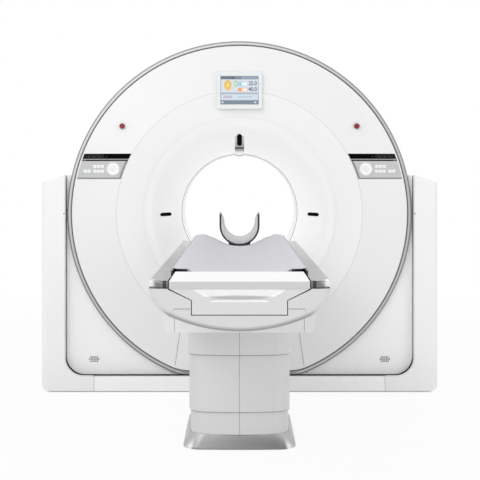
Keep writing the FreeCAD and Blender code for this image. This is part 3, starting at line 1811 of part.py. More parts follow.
def head_pad():
    """Crescent pad that lines the head holder."""
    body = new_body("head_pad")
    centre = holder_bottom + holder_half
    outer = holder_half - holder_wall - pad_seat
    inner = outer - head_pad_side
    bottom = centre - outer
    tip = outer - head_pad_tip
    low = bottom + head_pad_thick
    middle = low + inner
    shape = [
        (0, bottom, outer, 1),
        (outer, centre),
        (outer, head_pad_top),
        (tip, head_pad_top),
        (inner, middle, inner, -1),
        (0, low, inner, -1),
        (-inner, middle),
        (-tip, head_pad_top),
        (-outer, head_pad_top),
        (-outer, centre, outer, 1),
    ]
    pad(body, "XZ", [shape], holder_near - holder_far - pad_rise * 2, holder_far + pad_rise)


def cradle_drive():
    """Toothed belt, its two pulleys, the travel motor and the support roller."""
    left = belt_across - belt_half
    for name, spot in (("drive_pulley", pulley_near), ("idler_pulley", pulley_far)):
        where = (left + 1, -spot, pulley_axis)
        wheel = rod(name + "_wheel", where, pulley_radius - pulley_fit, belt_half * 2 - 1, turn_to_x)
        reach = rail_inner + deck_wall - left - 1
        axle = rod(name + "_axle", where, spindle_radius, reach - pulley_fit, turn_to_x)
        node(join(name, [wheel, axle]), name)
    belt = new_body("drive_belt")
    inner = pulley_radius
    outer = pulley_radius + belt_thick

    def loop(radius):
        return [
            (-pulley_near, pulley_axis - radius),
            (-pulley_far, pulley_axis - radius, radius, 1),
            (-(pulley_far - radius), pulley_axis, radius, 1),
            (-pulley_far, pulley_axis + radius),
            (-pulley_near, pulley_axis + radius, radius, 1),
            (-(pulley_near + radius), pulley_axis, radius, 1),
        ]

    pad(belt, "YZ", [loop(outer), loop(inner)], belt_half * 2 - 1, left + 1)
    motor = new_body("travel_motor", rail_inner + deck_wall, -pulley_near, pulley_axis)
    case = new_sketch(motor, "YZ")
    draw_circle(case, 0, 0, pulley_radius * 1.4)
    build(motor, "Pad", case, motor_flat)
    axle_height = cradle_bottom - guide_fit - roller_radius
    spot = (-roller_half, -roller_place, axle_height)
    drum = rod("roller_drum", spot, roller_radius, roller_half * 2, turn_to_x)
    pin_at = (-(roller_half + 9), -roller_place, axle_height)
    pin = rod("roller_axle", pin_at, roller_pin, roller_half * 2 + 18, turn_to_x)
    node(join("support_roller", [drum, pin]), "support_roller")


# ---- pedestal

def nested_shell(name, step, bottom, top, bead):
    """A pedestal cover: step is how far it is drawn in from the upper one."""
    body = new_body(name, 0, -pedestal_place, 0)
    half = upper_half - shell_step * step
    length = upper_length - shell_step * step
    outer = shell_outline(half, length)
    pad(body, "XY", [outer], top - bottom, bottom)
    bead_tall = shell_bead if bead else as_size(0)
    wall = shell_wall
    pocket_top = shell_outline(half - wall, length - wall)
    pocket(body, "XY", [pocket_top], top - bottom - bead_tall, bottom + bead_tall, back=True)
    if bead:
        gap = shell_step - shell_fit
        pocket(body, "XY", [shell_outline(half - gap, length - gap)], bead_tall, bottom, back=True)
    line = rectangle(-(groove / 2), -(length + bow + 1), groove / 2, -(length + bow - groove))
    pocket(body, "XY", [line], None, both=True)


def pedestal_foot():
    """Flared silver skirt round the base plate."""
    body = new_body("pedestal_foot", 0, -pedestal_place, 0)
    half, length, slope = foot_half, foot_length, foot_slope
    pad(body, "XY", [shell_outline(half, length, foot_bow)], foot_band)
    flare(body, "AdditiveLoft", half, length, slope)
    wall = foot_wall
    hollow = shell_outline(half - wall, length - wall, foot_bow)
    pocket(body, "XY", [hollow], foot_band, back=True)
    flare(body, "SubtractiveLoft", half - wall, length - wall, slope)


def flare(body, kind, half, length, slope):
    """The skirt's slope, from its low band in to the lower cover."""
    first = new_sketch(body, "XY", foot_band)
    draw(first, shell_outline(half, length, foot_bow))
    last = new_sketch(body, "XY", foot_top)
    draw(last, shell_outline(half - slope, length - slope, foot_bow))
    loft(body, kind, first, last)


def loft(body, kind, first, last):
    made = body.newObject("PartDesign::" + kind, body.Name + "_" + kind)
    made.Profile = first
    made.Sections = [last]
    made.Ruled = True
    body.Tip = made


def pedestal_base():
    """Steel base plate with four anchor holes."""
    body = new_body("pedestal_base", 0, -pedestal_place, 0)
    half = upper_half - base_inset
    length = upper_length - base_inset
    pad(body, "XY", [rectangle(-half, -length, half, length)], base_plate)
    holes = new_sketch(body, "XY")
    for side in (-1, 1):
        for end in (-1, 1):
            draw_circle(holes, side * base_hole_across, end * base_hole_along, base_hole / 2)
    build(body, "Pocket", holes, None, both=True)


def lift_stage(name, step, bottom, top):
    """One rectangular tube of the telescopic lift column."""
    body = new_body(name, 0, -pedestal_place, 0)
    shrink = (column_wall + column_fit) * step
    half = column_half - shrink
    length = column_long - shrink
    hollow_half = half - column_wall
    hollow_length = length - column_wall
    tube = [rectangle(-half, -length, half, length)]
    tube.append(rectangle(-hollow_half, -hollow_length, hollow_half, hollow_length))
    pad(body, "XY", tube, top - bottom, bottom)


def pedestal():
    pedestal_base()
    pedestal_foot()
    nested_shell("pedestal_lower_cover", 2, foot_top, lower_top, False)
    nested_shell("pedestal_middle_cover", 1, middle_bottom, middle_top, True)
    nested_shell("pedestal_upper_cover", 0, upper_bottom, lift_head, True)
    lift_stage("lift_column_outer", 0, base_plate, column_outer_top)
    lift_stage("lift_column_middle", 1, column_middle_bottom, column_middle_top)
    lift_stage("lift_column_inner", 2, column_inner_bottom, lift_head)


def build_all():
    gantry_stand()
    stand_cover("left_stand_cover", -1)
    stand_cover("right_stand_cover", 1)
    plinth_boards()
    tilt_gearbox()
    housing_shell()
    ring_trim()
    front_cover()
    lower_access_panel()
    rear_cover()
    front_bore_funnel()
    rear_bore_funnel()
    bore_liner_rings()
    scan_window()
    display()
    laser_strip()
    laser_windows()
    control_panels()
    for name, side in (("left", -1), ("right", 1)):
        round_button(name + "_round_button", side)
        stop_button(name + "_stop_button", side)
    status_strips()
    tilt_frame()
    tilt_shafts()
    main_bearing()
    rotor_drum()
    slip_ring()
    xray_tube()
    collimator()
    detector_arc()
    hv_generator()
    heat_exchanger()
    counterweight()
    side_rail("left_side_rail", -1)
    side_rail("right_side_rail", 1)
    table_deck()
    belly_cover()
    under_cover()
    guide_rails()
    carriage()
    cradle()
    mattress()
    cradle_end_cap()
    head_holder()
    head_pad()
    cradle_drive()
    pedestal()


def check_and_write():
    """Stops on any failed object, then writes each piece to its own file."""
    document.recompute()
    for thing in document.Objects:
        if "Invalid" in thing.State or "Error" in thing.State:
            raise RuntimeError(f"{thing.Label} failed: {thing.State}")
    os.makedirs("parts", exist_ok=True)
    for piece in nodes:
        shape = piece.Shape
        if shape.isNull() or not shape.isValid() or not shape.Solids:
            raise RuntimeError(f"{piece.Label} has no valid solid")
        print(f"{piece.Label}: {len(shape.Solids)} solids, {shape.Volume / 1e6:.3f} litres")
        shape.exportStep(f"parts/{piece.Label}.step")
    print(len(nodes), "pieces")


build_all()
check_and_write()
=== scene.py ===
import json
import math

import bmesh
import bpy
import numpy as np
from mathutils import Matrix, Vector, geometry


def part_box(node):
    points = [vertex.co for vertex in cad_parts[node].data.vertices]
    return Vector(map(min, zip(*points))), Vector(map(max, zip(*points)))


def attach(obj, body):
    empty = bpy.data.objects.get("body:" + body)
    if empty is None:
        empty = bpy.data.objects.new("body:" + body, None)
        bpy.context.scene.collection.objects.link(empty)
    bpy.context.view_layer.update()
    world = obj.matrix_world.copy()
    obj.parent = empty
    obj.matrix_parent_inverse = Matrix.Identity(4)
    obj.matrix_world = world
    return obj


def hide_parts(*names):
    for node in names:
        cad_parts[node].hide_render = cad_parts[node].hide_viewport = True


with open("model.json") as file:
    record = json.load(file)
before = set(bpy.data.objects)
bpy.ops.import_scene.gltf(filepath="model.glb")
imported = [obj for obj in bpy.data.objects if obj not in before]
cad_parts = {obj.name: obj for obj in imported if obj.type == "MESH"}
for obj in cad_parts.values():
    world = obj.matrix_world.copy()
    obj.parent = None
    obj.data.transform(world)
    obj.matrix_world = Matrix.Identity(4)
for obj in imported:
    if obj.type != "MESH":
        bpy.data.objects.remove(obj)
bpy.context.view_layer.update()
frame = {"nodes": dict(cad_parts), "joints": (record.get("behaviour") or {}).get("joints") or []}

nodes = frame["nodes"]
scene = bpy.context.scene
scene.view_settings.view_transform = "Standard"
print("frame loaded:", len(nodes), "nodes")

# the bore's axis runs along y at the height of the joint that tilts the gantry
tilt = next(joint for joint in frame["joints"] if joint["name"] == "gantry_tilt")
boreHeight = tilt["pos_m"][2]
sides = {"left": -1, "right": 1}


def grey(level, warm=0.0):
    # a screen level from 0 to 255 as a linear colour; warm tips it from blue to yellow
    channels = []
    for shift in (warm, 0.0, -warm):
        screen = min(max((level + shift) / 255, 0.0), 1.0)
        channels.append(((screen + 0.055) / 1.055) ** 2.4 if screen > 0.04 else screen / 12.92)
    return (*channels, 1.0)


def tint(red, green, blue):
    # three screen levels from 0 to 255 as a linear colour
    return tuple(grey(level)[0] for level in (red, green, blue)) + (1.0,)


def dimmed(colour, share):
    # a share of a colour's light
    return tuple(channel * share for channel in colour[:3]) + (1.0,)


class Wire:
    # one shader socket: + - * / and ** on it add Math nodes to its tree
    def __init__(self, owner, socket):
        self.owner = owner
        self.socket = socket

    def maths(self, operation, *values):
        return self.owner.node("ShaderNodeMath", {"operation": operation}, dict(enumerate(values)))

    def __add__(self, other):
        return self.maths("ADD", self, other)

    def __radd__(self, other):
        return self.maths("ADD", other, self)

    def __sub__(self, other):
        return self.maths("SUBTRACT", self, other)

    def __rsub__(self, other):
        return self.maths("SUBTRACT", other, self)

    def __mul__(self, other):
        return self.maths("MULTIPLY", self, other)

    def __rmul__(self, other):
        return self.maths("MULTIPLY", other, self)

    def __truediv__(self, other):
        return self.maths("DIVIDE", self, other)

    def __rtruediv__(self, other):
        return self.maths("DIVIDE", other, self)

    def __pow__(self, other):
        return self.maths("POWER", self, other)

    def root(self):
        return self.maths("SQRT", self)

    def sine(self):
        return self.maths("SINE", self)

    def size(self):
        return self.maths("ABSOLUTE", self)

    def largest(self, other):
        return self.maths("MAXIMUM", self, other)

    def below(self, limit):
        return self.maths("LESS_THAN", self, limit)

    def ramp(self, start, end, low=0.0, high=1.0):
        # low at start and before it, high at end and after it, smooth between
        settings = {"interpolation_type": "SMOOTHSTEP"}
        values = {"Value": self, "From Min": start, "From Max": end, "To Min": low, "To Max": high}
        return self.owner.node("ShaderNodeMapRange", settings, values)


class ShaderTree:
    # the nodes of a material or of the world
    def __init__(self, tree):
        self.tree = tree

    def node(self, kind, settings, values, output=0):
        # adds any node: its settings first, then the values or links of its sockets
        made = self.tree.nodes.new(kind)
        for name, setting in settings.items():
            setattr(made, name, setting)
        for name, value in values.items():
            if isinstance(value, Wire):
                self.tree.links.new(value.socket, made.inputs[name])
            else:
                made.inputs[name].default_value = value
        return Wire(self, made.outputs[output])

    def whiteRays(self):
        # 1 where the camera, a reflection or a look through glass meets the background
        path = self.node("ShaderNodeLightPath", {}, {}).socket.node
        seen, mirrored, through = (Wire(self, path.outputs[kind]) for kind in
                                   ("Is Camera Ray", "Is Glossy Ray", "Is Transmission Ray"))
        return seen.largest(mirrored).largest(through)


class Finish(ShaderTree):
    # a material with one Principled shader; others gives more of its sockets and their values
    def __init__(self, name, colour, rough, metal=0.0, others=None):
        self.material = bpy.data.materials.new(name)
        self.material.use_nodes = True
        self.material.diffuse_color = colour
        super().__init__(self.material.node_tree)
        self.shader = self.tree.nodes["Principled BSDF"]
        values = {"Base Color": colour, "Roughness": rough, "Metallic": metal, **(others or {})}
        for socket, value in values.items():
            self.shader.inputs[socket].default_value = value

    def feed(self, socket, wire):
        self.tree.links.new(wire.socket, self.shader.inputs[socket])

    def place(self):
        # object coordinates, which are the frame's own metres
        return self.node("ShaderNodeTexCoord", {}, {}, "Object")

    def axes(self):
        split = self.node("ShaderNodeSeparateXYZ", {}, {"Vector": self.place()}).socket.node
        return [Wire(self, output) for output in split.outputs]

    def boreReach(self):
        # distance from the bore's axis: the root of x squared plus the rise above it squared
        x, y, z = self.axes()
        up = z - boreHeight
        return (x * x + up * up).root()

    def noise(self, scale, detail=2.0, rough=0.5, stretch=(1, 1, 1)):
        where = self.node("ShaderNodeMapping", {}, {"Vector": self.place(), "Scale": stretch})
        values = {"Vector": where, "Scale": scale, "Detail": detail, "Roughness": rough}
        return self.node("ShaderNodeTexNoise", {}, values)

    def mix(self, mask, first, second):
        # colours: first where the mask is 0, second where it is 1
        return self.node("ShaderNodeMix", {"data_type": "RGBA"}, {0: mask, 6: first, 7: second}, 2)

    def layered(self, skin, layers):
        # layers is a function that gives pairs of a mask and the colour laid on there
        for mask, colour in layers(self) if layers else ():
            skin = self.mix(mask, skin, colour)
        self.feed("Base Color", skin)

    def bump(self, height, distance):
        self.feed("Normal", self.node("ShaderNodeBump", {}, {"Height": height, "Distance": distance}))


cameraSetup = {"place": (0.0, -6.225, 1.255), "lens": 75.0, "shiftAcross": 0.001, "shiftUp": -0.134}

lampSetup = {
    # name: place, aim, width, height, watts
    "keyLamp": ((-3.4, -5.2, 5.0), (0.0, 0.0, 1.0), 3.4, 3.4, 100),
    "frontLamp": ((-1.4, -9.0, 2.6), (0.0, 0.0, 1.1), 5.4, 3.0, 62),
    "fillLamp": ((4.6, -4.6, 2.2), (0.0, 0.0, 1.0), 3.0, 3.0, 42),
    "backLamp": ((1.0, 5.0, 4.6), (0.0, 0.0, 1.0), 4.0, 3.0, 45),
}

# a faint round lamp in the bore keeps the funnel as light as the cover around it
boreGlow = {"place": (0.0, -0.27, 1.09), "size": 0.14, "watts": 0.55}

worldLevel = 0.72

# the floor's half size, and where its white share and its shade beneath the gantry change
floorSetup = {
    "half": 40.0, "near": 2.4, "far": 5.0, "nearShare": 0.90,
    "beneathAcross": (1.13, 1.10), "beneathDeep": (0.43, 0.40),
}


def makeCamera():
    data = bpy.data.cameras.new("photoCamera")
    data.lens = cameraSetup["lens"]
    data.sensor_width = 36.0
    data.shift_x = cameraSetup["shiftAcross"]
    data.shift_y = cameraSetup["shiftUp"]
    data.clip_end = 200.0
    camera = bpy.data.objects.new("photoCamera", data)
    camera.location = cameraSetup["place"]
    camera.rotation_euler = (math.pi / 2, 0.0, 0.0)
    scene.collection.objects.link(camera)
    scene.camera = camera


def addLamp(name, kind, place, watts):
    data = bpy.data.lights.new(name, kind)
    data.energy = watts
    lamp = bpy.data.objects.new(name, data)
    lamp.location = place
    scene.collection.objects.link(lamp)
    return lamp


def makeLamps():
    for name, (place, aim, width, height, watts) in lampSetup.items():
        lamp = addLamp(name, "AREA", place, watts)
        lamp.data.shape = "RECTANGLE"
        lamp.data.size = width
        lamp.data.size_y = height
        lamp.rotation_euler = (Vector(aim) - Vector(place)).to_track_quat("-Z", "Y").to_euler()
    lamp = addLamp("boreGlow", "POINT", boreGlow["place"], boreGlow["watts"])
    lamp.data.shadow_soft_size = boreGlow["size"]
    lamp.visible_camera = False
    lamp.visible_glossy = False


def makeWorld():
    # white where the camera, a reflection or a look through glass meets it, softer as a light
    world = bpy.data.worlds.new("studio")
    scene.world = world
    world.use_nodes = True
    studio = ShaderTree(world.node_tree)
    background = studio.tree.nodes["Background"]
    background.inputs["Color"].default_value = (1.0, 1.0, 1.0, 1.0)
    strength = studio.whiteRays() * (1.0 - worldLevel) + worldLevel
    studio.tree.links.new(strength.socket, background.inputs["Strength"])


def makeFloor():
    # a pale floor that shows white to the camera and keeps a faint shadow near the object
    half = floorSetup["half"]
    mesh = bpy.data.meshes.new("studioFloor")
    corners = [(-half, -half, 0), (half, -half, 0), (half, half, 0), (-half, half, 0)]
    mesh.from_pydata(corners, [], [(0, 1, 2, 3)])
    floor = bpy.data.objects.new("studioFloor", mesh)
    scene.collection.objects.link(floor)
    paper = Finish("paperFloor", grey(244), 0.9)
    paper.feed("Base Color", paper.mix(paper.noise(3.0), grey(242), grey(246)))
    glow = paper.node("ShaderNodeEmission", {}, {"Color": (1, 1, 1, 1), "Strength": 1.0})
    x, y, z = paper.axes()
    reach = (x * x + y * y).root()
    share = reach.ramp(floorSetup["near"], floorSetup["far"], floorSetup["nearShare"], 1.0)
    beneath = x.size().ramp(*floorSetup["beneathAcross"]) * y.size().ramp(*floorSetup["beneathDeep"])
    mask = paper.whiteRays() * (share * (1.0 - beneath))
    surface = Wire(paper, paper.shader.outputs[0])
    both = paper.node("ShaderNodeMixShader", {}, {0: mask, 1: surface, 2: glow})
    paper.tree.links.new(both.socket, paper.tree.nodes["Material Output"].inputs["Surface"])
    mesh.materials.append(paper.material)


makeCamera()
makeLamps()
makeWorld()
makeFloor()
print("camera, lamps, world and floor made")


def mouldedFinish(name, colour, rough, peel=0.00004, layers=None, others=None):
    # painted or moulded skin: a slow drift of tone, fine orange peel, dust towards the floor
    finish = Finish(name, colour, rough, 0.0, others)
    x, y, z = finish.axes()
    dust = z.ramp(0.28, 0.0, 0.0, 0.10)
    mask = finish.noise(1.7, 3.0) * 0.02 + dust + finish.noise(23.0, 4.0) * 0.01
    finish.layered(finish.mix(mask, colour, dimmed(colour, 0.55)), layers)
    finish.feed("Roughness", finish.noise(6.0, 4.0) * 0.16 + (rough - 0.08))
    finish.bump(finish.noise(420.0, 1.0), peel)
    return finish


def brushedFinish(name, colour, rough, along, metal=1.0, layers=None):
    # drawn metal: noise stretched a hundredfold along one axis
    finish = Finish(name, colour, rough, metal)
    stretch = tuple(0.01 if axis == along else 1.0 for axis in "xyz")
    lines = finish.noise(900.0, 2.0, 0.6, stretch)
    broad = finish.noise(40.0, 3.0, 0.5, stretch)
    finish.layered(finish.mix(lines * 0.5 + broad * 0.3, colour, dimmed(colour, 0.78)), layers)
    finish.feed("Roughness", lines * 0.14 + (rough - 0.07))
    finish.bump(lines, 0.00002)
    return finish


def castFinish(name, colour, rough):
    # painted castings and machined weights: a coarse skin with rubbed high spots
    finish = Finish(name, colour, rough)
    skin = finish.noise(160.0, 5.0, 0.6)
    rub = finish.noise(11.0, 4.0).ramp(0.58, 0.74)
    bright = tuple(min(channel * 1.5 + 0.03, 1.0) for channel in colour[:3]) + (1.0,)
    finish.feed("Base Color", finish.mix(rub * 0.35 + skin * 0.2, colour, bright))
    finish.feed("Roughness", skin * 0.25 + (rough - 0.12))
    finish.bump(skin, 0.0004)
    return finish


def blackFinish(name, level, rough, peel=0.00008, layers=None, others=None):
    # black or grey plastic and rubber: fine grain and finger smears
    finish = Finish(name, grey(level), rough, 0.0, others)
    grain = finish.noise(700.0, 2.0)
    smear = finish.noise(9.0, 3.0).ramp(0.45, 0.75)
    finish.layered(finish.mix(grain * 0.5, grey(level), grey(level + 14)), layers)
    finish.feed("Roughness", smear * 0.14 + grain * 0.08 + (rough - 0.06))
    finish.bump(grain, peel)
    return finish


def vinylFinish(name, colour, rough, layers=None):
    # coated cloth: leather grain in small cells, with rubbed, glossier high places
    finish = Finish(name, colour, rough, 0.0, {"Sheen Weight": 0.05})
    cells = finish.node("ShaderNodeTexVoronoi", {"feature": "DISTANCE_TO_EDGE"},
                        {"Vector": finish.place(), "Scale": 620.0})
    creases = cells.ramp(0.0, 0.12)
    mask = (1.0 - creases) * 0.35 + finish.noise(4.0, 4.0) * 0.35
    finish.layered(finish.mix(mask, colour, dimmed(colour, 0.86)), layers)
    finish.feed("Roughness", (1.0 - creases) * 0.12 + finish.noise(15.0, 3.0) * 0.14 + (rough - 0.08))
    finish.bump(creases + finish.noise(60.0, 3.0) * 1.5, 0.00012)
    return finish


def ringFinish(name, middle):
    # the silver ring: a painted highlight along its middle band and painted shade towards both edges, by
    # distance from the axis
    finish = Finish(name, grey(176), 0.34, 0.85)
    edge = (finish.boreReach() - middle).size().ramp(0.003, 0.006)
    streak = finish.noise(260.0)
    finish.feed("Base Color", finish.mix(edge * 0.8 + streak * 0.15, grey(188), grey(136)))
    finish.feed("Roughness", streak * 0.1 + 0.28)
    finish.bump(streak, 0.00002)
    return finish


# in the layers' dictionaries a pair is where a shade starts and where it is full, in metres
cap = {"ridge": (0.8975, 0.8950)}


def capLayers(finish):
    # painted shade: the end cap's front face, below its ridge, is painted a shade darker than its top
    x, y, z = finish.axes()
    return [(z.ramp(*cap["ridge"]), grey(198))]


foot = {"front": (-1.60, -1.64), "corner": (0.213, 0.232), "middle": (-0.2, 0.24)}


def footLayers(finish):
    # painted light and shade on the foot's front: a mid grey painted shade between painted highlights
    # on its two corners, which shine less like metal, darker towards the right
    x, y, z = finish.axes()
    front = y.ramp(*foot["front"])
    corner = (x.size() + z * 0.3).ramp(*foot["corner"])
    finish.feed("Metallic", 0.5 - front * corner * 0.45)
    return [(front * (1.0 - corner) * (x.ramp(*foot["middle"]) * 0.3 + 0.45), grey(96)),
            (front * corner, grey(255))]


rail = {
    "far": (-2.3, -0.9), "end": (-2.828, -2.836), "bandInner": (0.246, 0.250), "bandOuter": (0.263, 0.258),
    "corner": (0.285, 0.300), "cornerNear": (-2.76, -2.80),
}


def railLayers(finish):
    # painted light and shade on the rails: lighter far away, a painted highlight on the outer corner and
    # painted shade with a dark band at the near end
    x, y, z = finish.axes()
    across = x.size()
    end = y.ramp(*rail["end"])
    band = across.ramp(*rail["bandInner"]) * across.ramp(*rail["bandOuter"])
    corner = across.ramp(*rail["corner"])
    return [(y.ramp(*rail["far"]) * 0.6, grey(222)),
            (end * 0.75 * (1.0 - corner), grey(108)),
            (end * band * 0.85, grey(40)),
            (corner * y.ramp(*rail["cornerNear"]) * 0.85, grey(250))]


bowl = {"sweep": 0.5808, "bottom": 0.725, "front": -2.826, "edge": (0.020, 0.003), "across": (0.275, 0.235)}


def bellyLayers(finish):
    # a soft painted shade just inside the bowl's lower edge: distance from the edge is the bowl's
    # sweep less the distance from the sweep's centre
    x, y, z = finish.axes()
    up = z - (bowl["bottom"] + bowl["sweep"])
    inside = bowl["sweep"] - (x * x + up * up).root()
    band = inside.ramp(*bowl["edge"]) * y.ramp(bowl["front"] + 0.01, bowl["front"])
    return [(band * x.size().ramp(*bowl["across"], 0.0, 0.62), grey(80))]


cover = {
    # distance from the bore's axis and depth before it: the throat, the crease and the ring
    "reach": (0.505, 0.710, 0.9725),
    "depth": (0.428, 0.452, 0.420),
    "flat": (0.7095, 0.7115), "line": 0.7105, "lineEdge": (0.0022, 0.0008),
}


def coverLayers(finish):
    # painted shade: the flat outer zone is painted a shade darker than the bowl, with a fine painted dark
    # line along the crease
    reach = finish.boreReach()
    line = (reach - cover["line"]).size().ramp(*cover["lineEdge"])
    return [(reach.ramp(*cover["flat"]), grey(237)), (line * 0.32, grey(120))]


funnel = {"light": (0.57, 0.49)}


def funnelLayers(finish):
    # painted light: the funnel is painted lighter from its rim to the bore, against the shade its slope falls
    # in
    return [(finish.boreReach().ramp(*funnel["light"]), grey(255))]


keel = {
    "inside": (-2.8370, -2.8355), "slope": (0.8430, 0.8455), "gripUp": 0.8405, "gripHalf": (0.090, 0.0085),
    "lipLow": (0.8265, 0.8280), "lipHigh": (0.8315, 0.8300), "lipAcross": (0.100, 0.092),
    "lipFront": (-2.80, -2.82),
}


def keelLayers(finish):
    # painted light and shade in the grip's recess: a painted highlight on the slope above, a painted
    # shadow in the oval hollow, at whose rim the squares of both distances over their half sizes
    # add up to one, and a painted highlight on the lip below
    x, y, z = finish.axes()
    inside = y.ramp(*keel["inside"])
    across, up = x / keel["gripHalf"][0], (z - keel["gripUp"]) / keel["gripHalf"][1]
    hollow = (across * across + up * up).ramp(1.3, 0.5)
    lip = z.ramp(*keel["lipLow"]) * z.ramp(*keel["lipHigh"]) * x.size().ramp(*keel["lipAcross"])
    return [(inside * z.ramp(*keel["slope"]) * 0.8, grey(254)), (inside * hollow * 0.34, grey(120)),
            (lip * y.ramp(*keel["lipFront"]), grey(255))]


wing = {"inner": (1.0125, 1.0115), "above": (0.20, 0.24)}


def wingLayers(finish):
    # painted light: the inner side of each wing, beside the housing, is painted as light as its front,
    # against the shade there
    x, y, z = finish.axes()
    return [(x.size().ramp(*wing["inner"]) * z.ramp(*wing["above"]), grey(255))]


panel = {"lowEdge": (1.2450, 1.2420), "crease": (0.7260, 0.7230)}


def panelLayers(finish):
    # painted shade along the keypad panels' lower edge and beside the crease, a darker border where the
    # panels stand proud
    x, y, z = finish.axes()
    border = z.ramp(*panel["lowEdge"]).largest(finish.boreReach().ramp(*panel["crease"]))
    return [(border * 0.8, grey(108))]


strip = {"middle": 1.365, "slant": 0.2, "zone": (0.783, 0.785), "lowEdge": (1.3525, 1.3512)}


def stripLayers(finish):
    # the greyer display zone on the outer half of each black strip, with a slanted edge,
    # and the grey border below it
    x, y, z = finish.axes()
    edge = x.size() - (z - strip["middle"]) * strip["slant"]
    return [(edge.ramp(*strip["zone"]) * 0.9, grey(40)), (z.ramp(*strip["lowEdge"]), grey(190))]


laser = {"bright": (1.43, 1.48), "bandHigh": (1.4270, 1.4240), "bandLow": (1.4130, 1.4160),
         "lipFoot": (1.3785, 1.3765)}


def laserLayers(finish):
    # the laser strip: bright at its top, a dark band near its lower end
    x, y, z = finish.axes()
    band = z.ramp(*laser["bandHigh"]) * z.ramp(*laser["bandLow"])
    return [(z.ramp(*laser["bright"]) * 0.6, grey(240)), (band * 0.85, grey(46))]


def laserLipLayers(finish):
    # a painted shadow at the lip's foot, beside the bore, in grey
    x, y, z = finish.axes()
    return [(z.ramp(*laser["lipFoot"]), grey(120))]


def dress(finish, *names):
    # one finish on every face of the named nodes
    for name in names:
        mesh = nodes[name].data
        for index in range(len(mesh.materials)):
            mesh.materials[index] = finish.material
        if not mesh.materials:
            mesh.materials.append(finish.material)
        mesh.polygons.foreach_set("material_index", np.zeros(len(mesh.polygons), int))


screenDark = Finish("screenDark", grey(18), 0.2, 0.0,
                    {"Emission Strength": 0.92, "Coat Weight": 0.6, "Coat Roughness": 0.06})

# the stand and its covers
dress(castFinish("standSteel", grey(150), 0.5), "gantry_stand", "pedestal_base")
dress(mouldedFinish("wingWhite", grey(243), 0.36, layers=wingLayers),
      "left_stand_cover", "right_stand_cover")
dress(mouldedFinish("plinthGrey", grey(252), 0.42), "plinth_boards")
dress(castFinish("driveGrey", grey(120), 0.45), "tilt_gearbox", "travel_motor", "xray_tube")
dress(brushedFinish("shaftSteel", grey(190), 0.3, "x"), "tilt_shafts")
dress(brushedFinish("bearingSteel", grey(200), 0.25, "y"), "bearing_outer_ring")

# the gantry's covers and what is let into them
dress(mouldedFinish("coverWhite", grey(242), 0.32, layers=coverLayers, others={"Coat Weight": 0.15}),
      "front_cover", "rear_cover", "lower_access_panel")
dress(mouldedFinish("funnelWhite", grey(242), 0.32, layers=funnelLayers, others={"Coat Weight": 0.5}),
      "front_bore_funnel", "rear_bore_funnel")
dress(ringFinish("ringSilver", 0.9865), "ring_trim")
dress(mouldedFinish("housingWhite", grey(247), 0.36), "housing_shell")
dress(mouldedFinish("linerWhite", grey(254), 0.30), "bore_liner_rings")
dress(mouldedFinish("windowGrey", grey(232), 0.18, peel=0.00001), "scan_window")
dress(mouldedFinish("bezelWhite", tint(229, 234, 233), 0.26), "display_bezel")
dress(screenDark, "display_screen")
dress(brushedFinish("stripSilver", grey(184), 0.28, "x", 0.7, laserLayers), "laser_strip")
dress(blackFinish("windowBlack", 0, 0.4, 0.00001, others={"Specular IOR Level": 0.02}), "laser_windows")
dress(mouldedFinish("panelGrey", grey(196), 0.42, layers=panelLayers), "control_panels")
dress(blackFinish("stripBlack", 0, 0.34, 0.00001, stripLayers, {"Specular IOR Level": 0.02}),
      "status_strips")
dress(mouldedFinish("stopRed", tint(132, 12, 26), 0.34, peel=0.00001),
      "left_stop_button", "right_stop_button")
dress(mouldedFinish("buttonGrey", grey(251), 0.36), "left_round_button", "right_round_button")

# the frame that tilts and the rotor
dress(castFinish("frameCast", grey(110), 0.6), "tilt_frame", "rotor_drum", "hv_generator")
dress(mouldedFinish("detectorGrey", grey(150), 0.4), "detector_arc", "heat_exchanger")
dress(brushedFinish("tubeMetal", grey(180), 0.35, "y"), "collimator")
dress(castFinish("weightIron", grey(70), 0.6), "counterweight")
dress(brushedFinish("slipBrass", tint(196, 160, 90), 0.3, "y"), "slip_ring")

# the table
dress(brushedFinish("footSilver", grey(190), 0.4, "x", 0.5, footLayers), "pedestal_foot")
dress(mouldedFinish("pedestalGrey", grey(214), 0.38),
      "pedestal_lower_cover", "pedestal_middle_cover", "pedestal_upper_cover")
dress(brushedFinish("columnAlloy", grey(200), 0.35, "z"),
      "lift_column_outer", "lift_column_middle", "lift_column_inner")
dress(brushedFinish("deckAlloy", grey(196), 0.4, "y"), "table_deck", "guide_rails")
dress(mouldedFinish("bellyGrey", grey(209), 0.36, layers=bellyLayers), "belly_cover")
dress(mouldedFinish("underGrey", grey(230), 0.36), "under_cover")
dress(brushedFinish("railAlloy", grey(160), 0.26, "y", 0.7, railLayers),
      "left_side_rail", "right_side_rail")
dress(blackFinish("beltRubber", 30, 0.6), "drive_belt")
dress(brushedFinish("pulleyAlloy", grey(190), 0.3, "x"), "drive_pulley", "idler_pulley")
dress(blackFinish("rollerPlastic", 60, 0.5), "support_roller")
dress(blackFinish("cradleBlack", 26, 0.36), "cradle")
dress(mouldedFinish("capWhite", grey(243), 0.30, layers=capLayers), "cradle_end_cap")
dress(mouldedFinish("keelWhite", grey(212), 0.34, layers=keelLayers), "carriage")
dress(blackFinish("holderBlack", 24, 0.34), "head_holder")
dress(mouldedFinish("padGrey", grey(214, -3), 0.55), "mattress")
dress(mouldedFinish("headPadGrey", grey(212), 0.6), "head_pad")
print("finishes given to the nodes")


def pointsOf(mesh, field="co"):
    # a mesh's places or normals as rows of three
    flat = np.zeros(len(mesh.vertices) * 3)
    mesh.vertices.foreach_get(field, flat)
    return flat.reshape(-1, 3)


